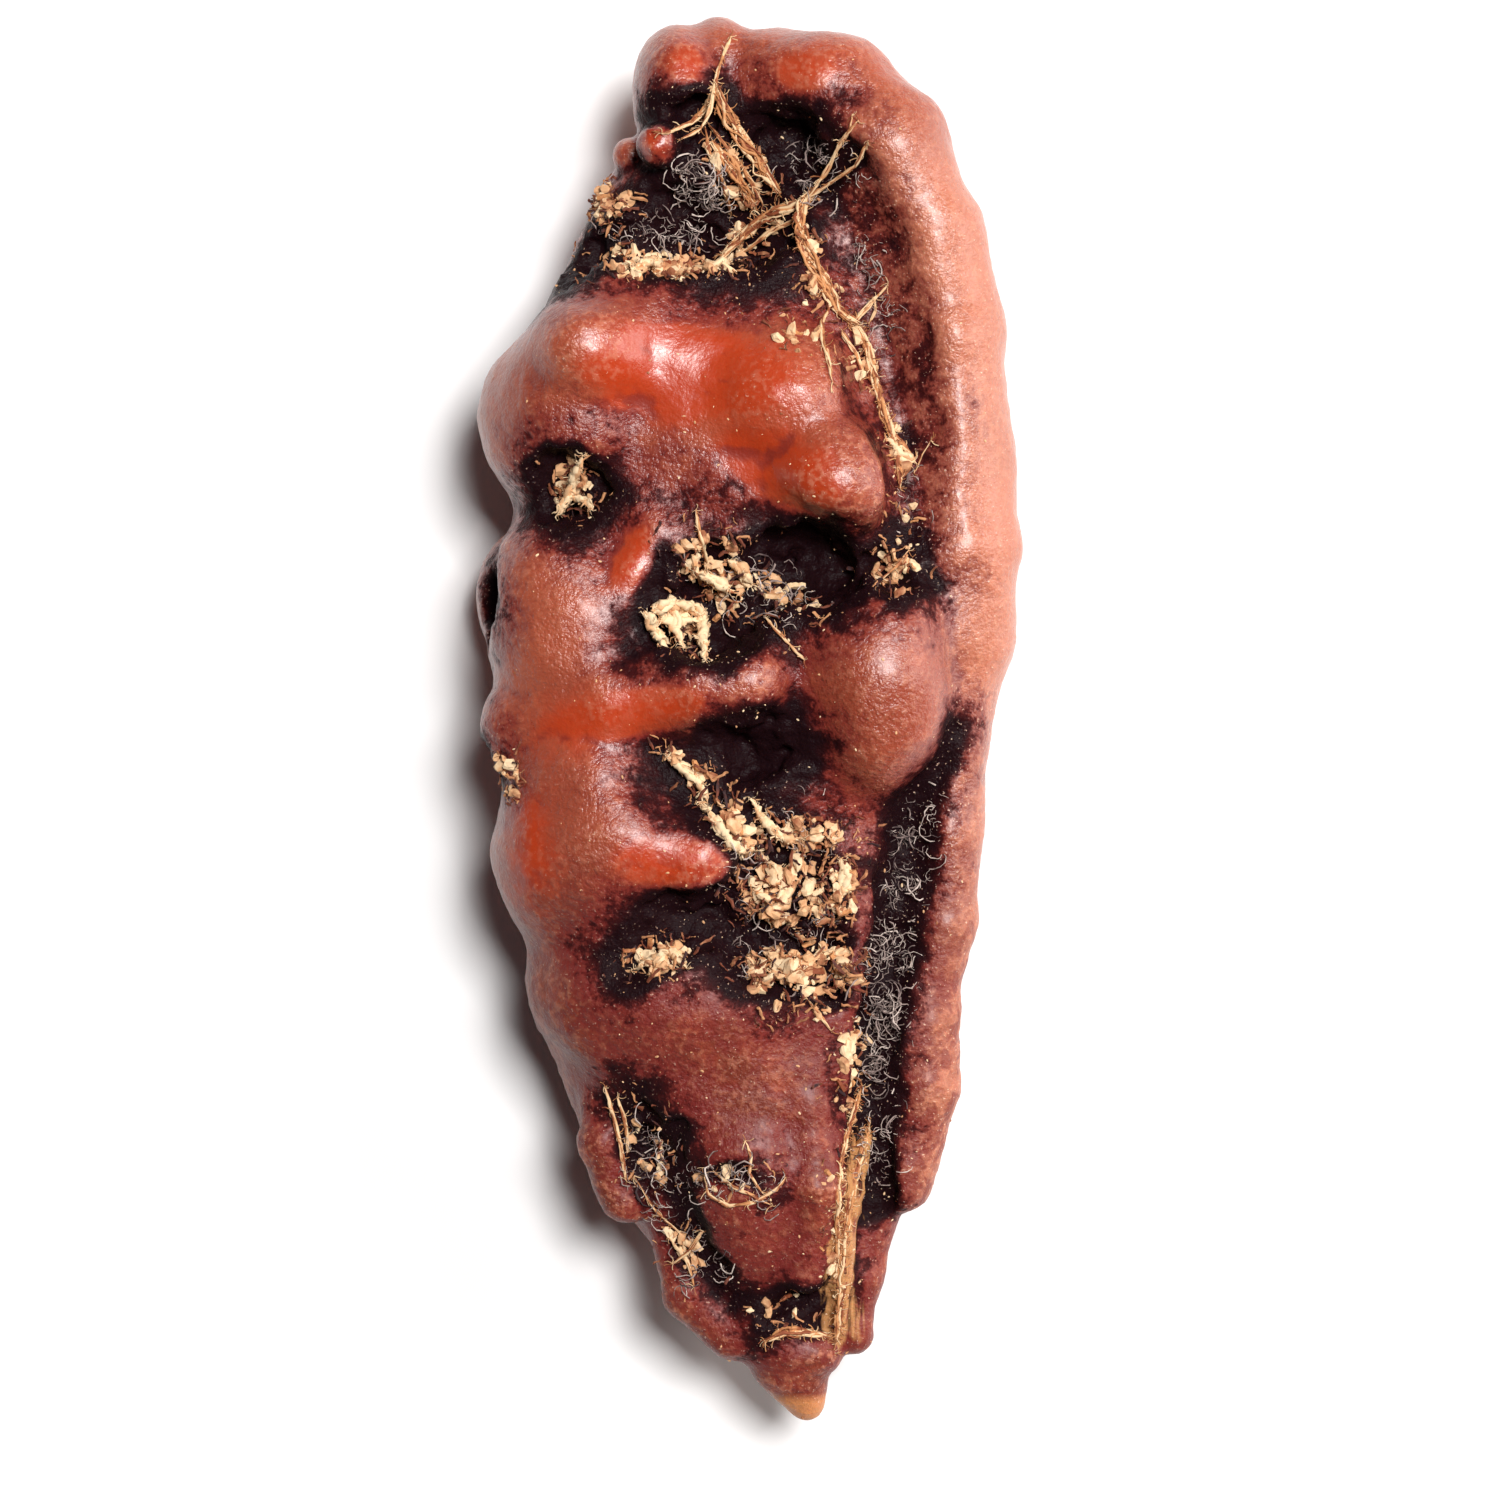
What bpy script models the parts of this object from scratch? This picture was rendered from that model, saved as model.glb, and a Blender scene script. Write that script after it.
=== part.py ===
"""Shelled dried pod: one shrivelled, lobed body of leathery pulp.

The pod lies on its flatter side. +Y runs from the tip to the crown, +X is the side with the
long rolled edge, +Z is up, and the origin is the middle of the footprint on the table.

The body is one distance field. Lobes and rolls of pulp melt into each other, hollows and
grooves are melted out of them, and the surface of the field becomes the mesh. Places and
sizes are in seventieths of the pod's length, which is 1 mm at its real size, and z counts
from the plane half-way up the rolled edge.
"""

import math
from typing import NamedTuple

import bmesh
import bpy
from mathutils import Vector

# Driving dimensions, in metres.
POD_LENGTH = 0.070
UNIT = POD_LENGTH / 70.0

# The field is sampled in a box with this reach from its middle, in units.
FIELD_REACH = (16.0, 38.0, 11.0)
FIELD_STEP = 0.5
REST_PLANE_Z = -7.2  # the pulp set flat against the table here while it dried
REST_MELT = 1.6
REST_CUT = 0.15  # the flat face is cut this far above the lowest point
MESH_FACES = 7000

STRETCH_MELT = 0.6  # how softly the stretches of one roll run into each other
SMALLEST_SLOPE = 0.001  # keeps the lobe's middle from dividing by nothing

# A slow unevenness all over, as drying leaves it.
WARP_WAVELENGTH = 5.5
WARP_DETAIL = 1.0
WARP_HEIGHT = 0.55


class Lobe(NamedTuple):
    """An egg-shaped swelling or hollow, turned about +Z by turn degrees."""

    centre: tuple
    radii: tuple
    melt: float = 1.5
    turn: float = 0.0


class Roll(NamedTuple):
    """A rounded ridge or groove through points (x, y, z, radius)."""

    path: list
    melt: float = 1.0


CORE = {
    "crown_core": Lobe((1.2, 24.3, -1.2), (7.8, 8.4, 5.6), 3.0),
    "upper_core": Lobe((-0.3, 8.0, -0.8), (11.6, 22.0, 7.4), 3.0),
    "lower_core": Lobe((0.3, -12.0, -1.0), (10.2, 17.0, 6.6), 3.0),
    "tip_core": Lobe((1.8, -25.2, -0.8), (4.8, 8.2, 3.7), 2.0),
}

LEFT_FLANK = {
    "shoulder": Lobe((-5.8, 19.4, 1.2), (4.3, 3.6, 5.0), 1.5),
    "first_bulge": Lobe((-8.6, 14.3, 0.8), (4.8, 5.0, 6.0), 1.6),
    "second_bulge": Lobe((-8.4, 4.4, 0.6), (4.9, 6.6, 6.0), 1.6),
    "third_bulge": Lobe((-6.9, -7.0, 1.0), (5.8, 6.0, 6.3), 1.4),
    "waist": Lobe((-4.0, -13.8, 0.4), (7.0, 5.0, 5.9), 2.6),
    "cavity_rim": Lobe((-11.2, 5.6, -3.0), (2.6, 3.6, 2.6), 1.2),
}

RIGHT_FLANK = {
    "right_first": Lobe((8.5, 18.0, -2.4), (3.5, 5.0, 4.4), 1.0),
    "right_second": Lobe((9.2, 7.8, -2.8), (3.4, 4.7, 4.4), 1.0),
    "right_third": Lobe((8.3, -1.8, -2.6), (3.1, 4.4, 4.2), 1.0),
    "right_fourth": Lobe((7.9, -10.6, -2.2), (3.0, 4.0, 3.6), 1.0),
    "right_fifth": Lobe((6.8, -18.8, -1.8), (2.7, 3.8, 3.0), 1.0),
}

FRONT_SWELLINGS = {
    "first_arch": Lobe((-3.0, 16.0, 1.8), (7.4, 5.0, 4.4), 1.8, -8.0),
    "arch_left": Lobe((-7.7, 17.5, 3.9), (3.0, 3.0, 4.0), 2.0),
    "first_slope": Lobe((1.8, 15.2, 3.7), (3.8, 3.8, 4.4), 2.0),
    "knob": Lobe((4.2, 11.2, 5.3), (3.1, 3.1, 3.7), 1.8),
    "right_bump": Lobe((6.3, 1.6, 3.4), (4.0, 6.0, 4.7), 2.4),
    "ridge_fill": Lobe((-7.4, -3.2, 1.8), (4.6, 3.4, 4.9), 2.0),
    "crown_left": Lobe((-3.0, 30.3, 1.2), (2.7, 3.9, 3.3), 1.1, 12.0),
    "crown_peak": Lobe((-1.3, 32.4, 0.9), (1.9, 2.3, 2.4), 1.2),
    "tail_block": Lobe((0.4, -22.5, 0.6), (4.2, 6.8, 4.6), 1.4, -4.0),
    "tip_bead": Lobe((3.5, -32.0, 0.9), (1.4, 1.4, 1.5), 0.8),
    "side_bead": Lobe((5.3, -31.2, 0.6), (1.0, 1.1, 1.1), 0.7),
    "edge_knob": Lobe((-5.8, 27.6, 1.0), (0.8, 0.8, 1.1), 0.6),
}

FRONT_ROLLS = {
    "slanting_ridge": Roll(
        [
            (-11.0, -0.9, 2.4, 2.4),
            (-6.5, 0.1, 4.7, 2.2),
            (-2.5, 1.0, 5.7, 1.9),
            (0.2, 1.2, 6.1, 1.6),
        ],
        2.0,
    ),
    "fork_ridge": Roll([(-4.4, 8.6, 5.2, 1.0), (-5.6, 6.6, 5.2, 1.1), (-6.8, 4.4, 4.9, 1.2)], 1.2),
    "third_finger": Roll([(-7.0, -6.4, 4.0, 3.0), (-2.4, -7.4, 5.0, 2.3)], 1.2),
    "rolled_edge": Roll(
        [
            (1.3, 31.4, 1.2, 2.7),
            (4.2, 30.4, 2.2, 3.0),
            (6.6, 27.6, 2.8, 3.3),
            (8.6, 23.5, 2.8, 3.1),
            (9.7, 18.5, 2.7, 3.0),
            (10.2, 13.0, 2.5, 2.9),
            (10.5, 8.0, 2.3, 3.0),
            (10.3, 3.4, 2.0, 2.9),
            (9.9, -1.6, 1.8, 2.1),
            (9.9, -6.0, 1.8, 1.9),
            (9.7, -10.5, 1.7, 1.7),
            (9.0, -14.8, 1.5, 1.6),
            (8.9, -19.0, 1.4, 1.7),
            (7.7, -23.6, 1.2, 1.5),
        ],
        1.4,
    ),
    "left_ear": Roll([(-7.2, -19.2, 1.2, 0.9), (-7.1, -21.6, 1.8, 1.2), (-6.1, -24.4, 1.4, 1.2)], 0.9),
    "lower_ear": Roll([(-3.8, -26.0, 0.6, 1.0), (-3.0, -29.2, 0.8, 1.3), (-0.8, -31.4, 0.6, 1.3)], 1.0),
    "tail_ridge": Roll([(3.0, -19.6, 3.6, 1.4), (3.4, -23.4, 3.6, 1.4), (2.8, -27.8, 2.4, 1.3)], 1.0),
    "tail_side": Roll([(6.3, -24.4, 0.3, 1.6), (5.5, -28.2, 0.5, 1.4), (5.2, -31.0, 0.6, 0.9)], 1.0),
    "tip": Roll(
        [
            (1.3, -30.2, 0.2, 2.3),
            (2.2, -32.2, 0.1, 2.1),
            (2.7, -33.8, 0.0, 1.4),
            (2.9, -34.8, -0.1, 0.8),
        ],
        1.2,
    ),
}

BACK_SWELLINGS = {
    "back_first": Lobe((-4.8, 12.6, -3.6), (6.4, 5.8, 4.8), 1.4, 10.0),
    "back_second": Lobe((4.8, 4.0, -3.8), (6.2, 6.6, 4.6), 1.4, -12.0),
    "back_third": Lobe((-3.0, -7.2, -3.8), (6.2, 5.6, 4.8), 1.4),
    "back_tail": Lobe((2.8, -17.0, -3.0), (4.8, 5.2, 4.0), 1.4),
    "back_crown": Lobe((3.6, 22.6, -2.6), (5.4, 5.2, 4.4), 1.4),
}

PITS = {
    "crown_hollow": Lobe((-2.2, 23.7, 5.0), (5.6, 2.6, 3.8), 1.0, -4.0),
    "crown_hollow_left": Lobe((-7.4, 22.9, 4.2), (2.6, 1.3, 3.0), 0.8, 28.0),
    "under_hood": Lobe((1.9, 27.4, 4.6), (2.9, 1.8, 3.2), 1.4, -24.0),
    "crown_shade": Lobe((-2.8, 28.6, 4.8), (1.6, 2.0, 1.8), 0.8, 20.0),
    "left_pit": Lobe((-8.8, 10.7, 5.4), (1.4, 1.7, 2.7), 0.9),
    "middle_pit": Lobe((-1.4, 5.0, 6.8), (3.2, 2.6, 3.0), 1.0, 20.0),
    "middle_pit_right": Lobe((2.5, 6.8, 6.0), (2.9, 1.9, 3.3), 0.8),
    "middle_pit_left": Lobe((-3.9, 3.6, 5.8), (1.3, 1.2, 2.2), 0.7),
    "small_pit": Lobe((7.1, 6.6, 5.9), (1.3, 1.3, 1.4), 0.7),
    "overhung_pit": Lobe((0.5, -2.2, 6.8), (2.3, 1.5, 2.8), 0.8, -18.0),
    "overhung_pit_right": Lobe((3.8, -5.4, 7.0), (2.4, 0.8, 2.0), 0.8, -14.0),
    "crumb_pit": Lobe((1.9, -8.2, 6.6), (2.7, 1.9, 2.4), 0.9, 16.0),
    "crumb_pit_low": Lobe((0.8, -11.4, 6.4), (2.6, 2.2, 2.7), 0.9, -20.0),
    "crumb_pit_right": Lobe((3.7, -12.0, 6.0), (1.6, 2.6, 2.1), 0.9),
    "finger_pit": Lobe((-2.3, -10.2, 5.8), (1.9, 1.2, 1.9), 0.7, 14.0),
    "ear_pit": Lobe((-4.9, -21.4, 4.4), (1.3, 2.4, 2.6), 0.8, 14.0),
    "tail_pit": Lobe((-0.6, -23.2, 5.8), (1.7, 0.7, 1.3), 0.7),
    "tip_pit": Lobe((2.2, -29.7, 3.6), (2.2, 0.8, 2.0), 0.6, 12.0),
    "side_cavity": Lobe((-13.4, 5.8, 1.4), (2.2, 2.9, 2.8), 0.7),
    "side_notch": Lobe((-13.0, -2.7, 1.4), (1.3, 0.9, 1.6), 0.6),
    "back_pit": Lobe((3.4, 12.8, -8.2), (2.4, 1.8, 2.6), 0.8, 30.0),
    "back_pit_low": Lobe((1.6, -11.6, -7.6), (1.9, 2.4, 2.4), 0.8, -20.0),
}

GROOVES = {
    "hood_groove": Roll(
        [
            (4.0, 25.4, 6.0, 2.4),
            (5.1, 21.8, 6.4, 2.5),
            (6.8, 17.4, 6.4, 2.1),
            (7.9, 13.4, 6.4, 1.8),
            (8.1, 9.4, 6.3, 1.3),
        ],
        2.0,
    ),
    "edge_groove": Roll(
        [
            (10.2, -1.4, 4.2, 0.3),
            (9.0, -3.8, 4.1, 0.6),
            (8.1, -6.2, 3.9, 1.0),
            (7.2, -11.4, 3.7, 1.2),
            (6.5, -15.6, 3.4, 1.15),
            (6.1, -20.0, 3.0, 1.1),
            (6.3, -24.4, 2.3, 1.0),
        ],
        0.8,
    ),
    "knob_valley": Roll(
        [
            (-8.0, 11.4, 7.0, 1.3),
            (-3.4, 10.2, 8.0, 1.5),
            (1.2, 9.0, 8.2, 1.5),
            (4.6, 7.6, 7.8, 1.3),
        ],
        1.4,
    ),
    "crumb_trough": Roll([(-3.4, -2.9, 7.4, 1.0), (-0.9, -4.8, 7.0, 1.3), (1.6, -6.6, 6.6, 1.5)], 0.8),
    "crumb_tail": Roll([(-0.8, -9.8, 6.2, 1.5), (-3.4, -10.5, 6.0, 1.4), (-5.8, -12.6, 6.2, 0.9)], 0.8),
    "ear_trough": Roll([(-4.6, -22.8, 4.2, 1.0), (-3.2, -26.0, 3.4, 1.0), (-1.8, -28.0, 3.0, 0.8)], 0.7),
    "left_seam": Roll([(-7.6, 24.4, -2.4, 0.9), (-11.4, 17.2, -3.6, 1.0), (-12.6, 10.2, -4.2, 0.9)], 0.9),
    "left_seam_low": Roll(
        [
            (-12.2, -5.6, -3.6, 0.9),
            (-10.4, -13.6, -3.2, 0.9),
            (-7.2, -20.6, -2.4, 0.7),
        ],
        0.9,
    ),
    "right_seam": Roll(
        [
            (10.2, 22.0, -2.2, 0.9),
            (12.2, 12.6, -2.6, 1.0),
            (12.6, 4.0, -2.6, 1.0),
            (11.6, -6.2, -2.2, 0.9),
            (10.0, -16.0, -1.6, 0.8),
        ],
        0.9,
    ),
}

BACK_FURROWS = {
    "furrow_high": Roll(
        [
            (-12.6, 10.4, -2.6, 0.7),
            (-10.4, 9.6, -5.6, 0.9),
            (-4.0, 8.4, -8.0, 1.2),
            (3.4, 10.6, -8.2, 1.2),
            (10.2, 12.8, -5.6, 0.9),
            (12.4, 13.2, -2.6, 0.7),
        ],
        1.0,
    ),
    "furrow_middle": Roll(
        [
            (-12.6, -2.4, -1.6, 0.7),
            (-10.8, -1.6, -5.0, 0.9),
            (-4.4, -0.8, -7.9, 1.2),
            (3.8, -3.0, -8.1, 1.2),
            (9.6, -6.0, -5.0, 0.9),
            (11.4, -6.4, -2.2, 0.7),
        ],
        1.0,
    ),
    "furrow_low": Roll(
        [
            (-11.0, -12.6, -1.0, 0.7),
            (-8.6, -12.8, -4.8, 0.9),
            (-2.6, -13.6, -7.0, 1.1),
            (4.0, -12.6, -7.2, 1.1),
            (8.8, -14.8, -4.2, 0.9),
            (10.6, -15.0, -1.6, 0.6),
        ],
        1.0,
    ),
}

LATE_SWELLINGS = {
    "nub": Lobe((-4.3, 27.7, 4.0), (1.0, 1.05, 1.2), 0.3),
}

LATE_ROLLS = {
    "woody_vein": Roll(
        [
            (6.0, -21.2, 2.8, 0.3),
            (5.1, -23.6, 3.0, 0.6),
            (4.8, -26.6, 2.8, 0.55),
            (4.6, -31.0, 1.8, 0.4),
        ],
        0.5,
    ),
}


def add_node(tree, kind, values=(), operation=None, links=()):
    """A node of this kind with its input values by index, its operation and its links by index."""
    node = tree.nodes.new(kind)
    if operation:
        node.operation = operation
    for index, value in values:
        node.inputs[index].default_value = value
    for index, socket in links:
        tree.links.new(socket, node.inputs[index])
    return node


def number(tree, operation, *terms):
    """A number worked out from sockets or plain numbers."""
    node = add_node(tree, "ShaderNodeMath", operation=operation)
    for index, term in enumerate(terms):
        if isinstance(term, bpy.types.NodeSocket):
            tree.links.new(term, node.inputs[index])
        else:
            node.inputs[index].default_value = term
    return node.outputs["Value"]


def vector(tree, operation, start, term):
    """A vector worked out from a socket and a fixed vector."""
    node = add_node(tree, "ShaderNodeVectorMath", [(1, term)], operation, [(0, start)])
    return node.outputs["Value" if operation in ("LENGTH", "DOT_PRODUCT") else "Vector"]


def lobe_distance(tree, place, lobe):
    """Distance from place to the lobe's skin, negative inside, close enough near the skin."""
    local = vector(tree, "SUBTRACT", place, lobe.centre)
    if lobe.turn:
        turned = add_node(tree, "ShaderNodeVectorRotate", [(3, -math.radians(lobe.turn))])
        tree.links.new(local, turned.inputs[0])
        turned.rotation_type = "Z_AXIS"
        local = turned.outputs[0]
    steps = vector(tree, "DIVIDE", local, lobe.radii)
    inner = vector(tree, "LENGTH", steps, (0, 0, 0))
    slope = vector(tree, "LENGTH", vector(tree, "DIVIDE", steps, lobe.radii), (0, 0, 0))
    rise = number(tree, "MULTIPLY", inner, number(tree, "SUBTRACT", inner, 1.0))
    return number(tree, "DIVIDE", rise, number(tree, "MAXIMUM", slope, SMALLEST_SLOPE))


def stretch_distance(tree, place, start, end):
    """Distance from place to a tapered round bar between two points (x, y, z, radius)."""
    first = Vector(start[:3])
    along = Vector(end[:3]) - first
    local = vector(tree, "SUBTRACT", place, first)
    share = number(tree, "MULTIPLY", vector(tree, "DOT_PRODUCT", local, along), 1.0 / along.length_squared)
    share.node.use_clamp = True
    spot = add_node(tree, "ShaderNodeVectorMath", [(0, along)], "SCALE", [(3, share)])
    nearest = spot.outputs[0]
    gap = add_node(tree, "ShaderNodeVectorMath", (), "DISTANCE", [(0, local), (1, nearest)])
    radius = number(tree, "MULTIPLY_ADD", share, end[3] - start[3], start[3])
    return number(tree, "SUBTRACT", gap.outputs["Value"], radius)


def shape_distance(tree, place, shape):
    """Distance from place to a lobe, or to a roll with its stretches joined."""
    if isinstance(shape, Lobe):
        return lobe_distance(tree, place, shape)
    found = None
    for start, end in zip(shape.path, shape.path[1:]):
        stretch = stretch_distance(tree, place, start, end)
        found = stretch if found is None else number(tree, "SMOOTH_MIN", found, stretch, STRETCH_MELT)
    return found


def pod_field(tree, place):
    """Distance to the whole pod's skin: pulp melted together, then hollows melted out of it."""
    body = None
    for group in (CORE, LEFT_FLANK, RIGHT_FLANK, FRONT_SWELLINGS, FRONT_ROLLS, BACK_SWELLINGS):
        for shape in group.values():
            distance = shape_distance(tree, place, shape)
            body = distance if body is None else number(tree, "SMOOTH_MIN", body, distance, shape.melt)
    for group in (PITS, GROOVES, BACK_FURROWS):
        for shape in group.values():
            outside = number(tree, "MULTIPLY", shape_distance(tree, place, shape), -1.0)
            body = number(tree, "SMOOTH_MAX", body, outside, shape.melt)
    for group in (LATE_SWELLINGS, LATE_ROLLS):
        for shape in group.values():
            body = number(tree, "SMOOTH_MIN", body, shape_distance(tree, place, shape), shape.melt)
    warp = add_node(tree, "ShaderNodeTexNoise", links=[(0, place)])
    warp.inputs["Scale"].default_value = 1.0 / WARP_WAVELENGTH
    warp.inputs["Detail"].default_value = WARP_DETAIL
    uneven = number(tree, "MULTIPLY_ADD", warp.outputs[0], WARP_HEIGHT * 2.0, -WARP_HEIGHT)
    body = number(tree, "ADD", body, uneven)
    height = add_node(tree, "ShaderNodeSeparateXYZ", links=[(0, place)]).outputs["Z"]
    under_table = number(tree, "SUBTRACT", REST_PLANE_Z, height)
    return number(tree, "SMOOTH_MAX", body, under_table, REST_MELT)


def pulp_tree():
    """A node tree that turns the pod's field into a mesh, in metres."""
    tree = bpy.data.node_groups.new("pod_pulp", "GeometryNodeTree")
    tree.interface.new_socket("Geometry", in_out="OUTPUT", socket_type="NodeSocketGeometry")
    place = tree.nodes.new("GeometryNodeInputPosition").outputs[0]
    density = number(tree, "MULTIPLY", pod_field(tree, place), -1.0)
    box = add_node(tree, "GeometryNodeVolumeCube", links=[(0, density)])
    box.inputs["Background"].default_value = -1.0
    box.inputs["Min"].default_value = [-reach for reach in FIELD_REACH]
    box.inputs["Max"].default_value = FIELD_REACH
    for axis, reach in zip("XYZ", FIELD_REACH):
        box.inputs[f"Resolution {axis}"].default_value = round(2.0 * reach / FIELD_STEP) + 1
    skin = add_node(tree, "GeometryNodeVolumeToMesh", links=[(0, box.outputs[0])])
    skin.inputs["Threshold"].default_value = 0.0
    real_size = add_node(tree, "GeometryNodeTransform", links=[(0, skin.outputs[0])])
    real_size.inputs["Scale"].default_value = (UNIT, UNIT, UNIT)
    output = tree.nodes.new("NodeGroupOutput")
    tree.links.new(real_size.outputs[0], output.inputs[0])
    return tree


def pulp_material():
    """Leathery orange-brown pulp with a waxy skin."""
    material = bpy.data.materials.new("pulp")
    material.use_nodes = True
    shader = material.node_tree.nodes["Principled BSDF"]
    shader.inputs["Base Color"].default_value = (0.38, 0.075, 0.025, 1.0)
    shader.inputs["Roughness"].default_value = 0.42
    shader.inputs["Metallic"].default_value = 0.0
    return material


def link_new(name, mesh, collection):
    """A new object with this mesh, in the collection."""
    made = bpy.data.objects.new(name, mesh)
    collection.objects.link(made)
    return made


def evaluated_mesh(source):
    """A plain mesh of the object as its modifiers leave it."""
    graph = bpy.context.evaluated_depsgraph_get()
    return bpy.data.meshes.new_from_object(source.evaluated_get(graph))


def keep_largest_body(body):
    """Removes every loose crumb of mesh but the pod itself."""
    unseen = set(body.verts)
    islands = []
    while unseen:
        front = [unseen.pop()]
        island = set(front)
        while front:
            for edge in front.pop().link_edges:
                for vertex in edge.verts:
                    if vertex in unseen:
                        unseen.discard(vertex)
                        island.add(vertex)
                        front.append(vertex)
        islands.append(island)
    largest = max(islands, key=len)
    bmesh.ops.delete(body, geom=[v for v in body.verts if v not in largest], context="VERTS")


def stand_on_origin(mesh):
    """Moves the mesh so that the footprint's middle is the origin and the lowest point is at z 0."""
    corners = [vertex.co for vertex in mesh.vertices]
    low = Vector([min(place[axis] for place in corners) for axis in range(3)])
    high = Vector([max(place[axis] for place in corners) for axis in range(3)])
    middle = (low + high) / 2.0
    for vertex in mesh.vertices:
        vertex.co -= Vector((middle.x, middle.y, low.z))


def cut_resting_face(mesh):
    """Cuts the underside to one exact plane and closes the cut."""
    body = bmesh.new()
    body.from_mesh(mesh)
    bmesh.ops.triangulate(body, faces=body.faces)
    keep_largest_body(body)
    plane = Vector((0.0, 0.0, min(vertex.co.z for vertex in body.verts) + REST_CUT * UNIT))
    bmesh.ops.bisect_plane(
        body,
        geom=body.verts[:] + body.edges[:] + body.faces[:],
        dist=1e-7,
        plane_co=plane,
        plane_no=(0.0, 0.0, -1.0),
        clear_outer=True,
    )
    rim = [edge for edge in body.edges if edge.is_boundary]
    made = bmesh.ops.edgenet_fill(body, edges=rim)
    bmesh.ops.triangulate(body, faces=made["faces"])
    bmesh.ops.recalc_face_normals(body, faces=body.faces)
    body.to_mesh(mesh)
    body.free()


def thin_out(pod, faces):
    """Lowers the face count to about this many, keeping the shape."""
    ratio = faces / (2.0 * len(pod.data.polygons))
    fewer = pod.modifiers.new("fewer_faces", "DECIMATE")
    fewer.ratio = min(1.0, ratio)
    mesh = evaluated_mesh(pod)
    pod.modifiers.remove(fewer)
    pod.data = mesh


def build_pod(collection):
    """The pod as one closed mesh, in place."""
    pod = link_new("pod", bpy.data.meshes.new("pod"), collection)
    pulp = pod.modifiers.new("pulp", "NODES")
    pulp.node_group = pulp_tree()
    field_mesh = evaluated_mesh(pod)
    pod.modifiers.remove(pulp)
    pod.data = field_mesh
    thin_out(pod, MESH_FACES)
    cut_resting_face(pod.data)
    stand_on_origin(pod.data)
    pod.data.materials.clear()
    pod.data.materials.append(pulp_material())
    pod.data.shade_smooth()
    return pod


def main():
    """Clears the scene and builds the pod in a collection of its own."""
    for leftover in list(bpy.data.objects):
        bpy.data.objects.remove(leftover)
    collection = bpy.data.collections.new("shelled_pod")
    bpy.context.scene.collection.children.link(collection)
    build_pod(collection)


main()
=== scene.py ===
"""The looks of a shelled dried seed pod: leathery pulp, woody strands, torn pith and hair.

Lengths in the pod's own tables are in millimetres, counted from the pod's middle and from the
plane half-way up its rolled edge: +Y runs to the crown, +X to the side of the rolled edge, +Z up.
Placement turns them into the frame's metres.
"""

from __future__ import annotations

import logging
import math
from dataclasses import dataclass
from enum import Enum
from typing import Any, Iterable, Mapping, Optional, Sequence, Union

import bmesh
import bpy
import numpy as np
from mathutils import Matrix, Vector
from mathutils.bvhtree import BVHTree

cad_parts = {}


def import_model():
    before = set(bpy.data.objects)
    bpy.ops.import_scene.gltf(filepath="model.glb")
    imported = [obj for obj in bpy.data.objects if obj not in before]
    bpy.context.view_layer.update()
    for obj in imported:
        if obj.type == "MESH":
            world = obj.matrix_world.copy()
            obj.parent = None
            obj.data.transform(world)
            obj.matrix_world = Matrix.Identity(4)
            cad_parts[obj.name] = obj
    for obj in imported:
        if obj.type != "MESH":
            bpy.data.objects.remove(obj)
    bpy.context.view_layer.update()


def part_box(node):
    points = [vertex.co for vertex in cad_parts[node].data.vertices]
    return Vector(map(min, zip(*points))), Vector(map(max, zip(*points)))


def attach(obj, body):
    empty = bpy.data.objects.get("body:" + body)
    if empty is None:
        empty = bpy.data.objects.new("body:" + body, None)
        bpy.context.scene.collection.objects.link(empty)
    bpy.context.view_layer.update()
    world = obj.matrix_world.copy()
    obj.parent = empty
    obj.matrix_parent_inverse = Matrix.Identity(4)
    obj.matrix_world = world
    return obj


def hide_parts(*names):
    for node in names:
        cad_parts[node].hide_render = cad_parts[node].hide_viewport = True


LOG = logging.getLogger("shelled_pod")

NODE = "pod"
BODY = "root"
MM = 0.001

Socket = bpy.types.NodeSocket
Tree = bpy.types.NodeTree
Point = tuple[float, float, float]
Station = tuple[float, float, float, float]
Spot = tuple[float, float]
Term = Union[Socket, bpy.types.ID, float, int, bool, str, Sequence[float], None]

MATHS = "ShaderNodeMath"
VECTORS = "ShaderNodeVectorMath"
NOISE = "ShaderNodeTexNoise"
RANGE = "ShaderNodeMapRange"
RANDOM = "FunctionNodeRandomValue"
GROUP = "GeometryNodeGroup"
MIDDLE_GREY = (0.5, 0.5, 0.5)


def add_node(
    tree: Tree,
    kind: str,
    *terms: Term,
    named: Optional[Mapping[Union[str, int], Term]] = None,
    out: Union[str, int] = 0,
    **settings: Any,
) -> Socket:
    """Adds a node with its settings, values and links.

    Args:
        tree: Tree that takes the node.
        kind: The node's type.
        terms: Value or socket for each input in order; None leaves an input alone.
        named: Value or socket for inputs given by name or number.
        out: Name or number of the output to hand back.
        settings: The node's own properties.

    Returns:
        The chosen output.
    """
    node = tree.nodes.new(kind)
    for name, value in settings.items():
        setattr(node, name, value)
    pairs = [*enumerate(terms), *(named or {}).items()]
    for key, term in pairs:
        if isinstance(term, Socket):
            tree.links.new(term, node.inputs[key])
        elif term is not None:
            node.inputs[key].default_value = term
    return node.outputs[out] if node.outputs else node.inputs[0]


def linear(code: str) -> tuple[float, float, float, float]:
    """Turns an sRGB hex colour into linear light.

    Args:
        code: Colour such as "#be411b".

    Returns:
        Linear red, green, blue and an alpha of 1.
    """
    shares = [int(code[place : place + 2], 16) / 255.0 for place in (1, 3, 5)]
    light = [share / 12.92 if share <= 0.04045 else ((share + 0.055) / 1.055) ** 2.4 for share in shares]
    return (light[0], light[1], light[2], 1.0)


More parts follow.
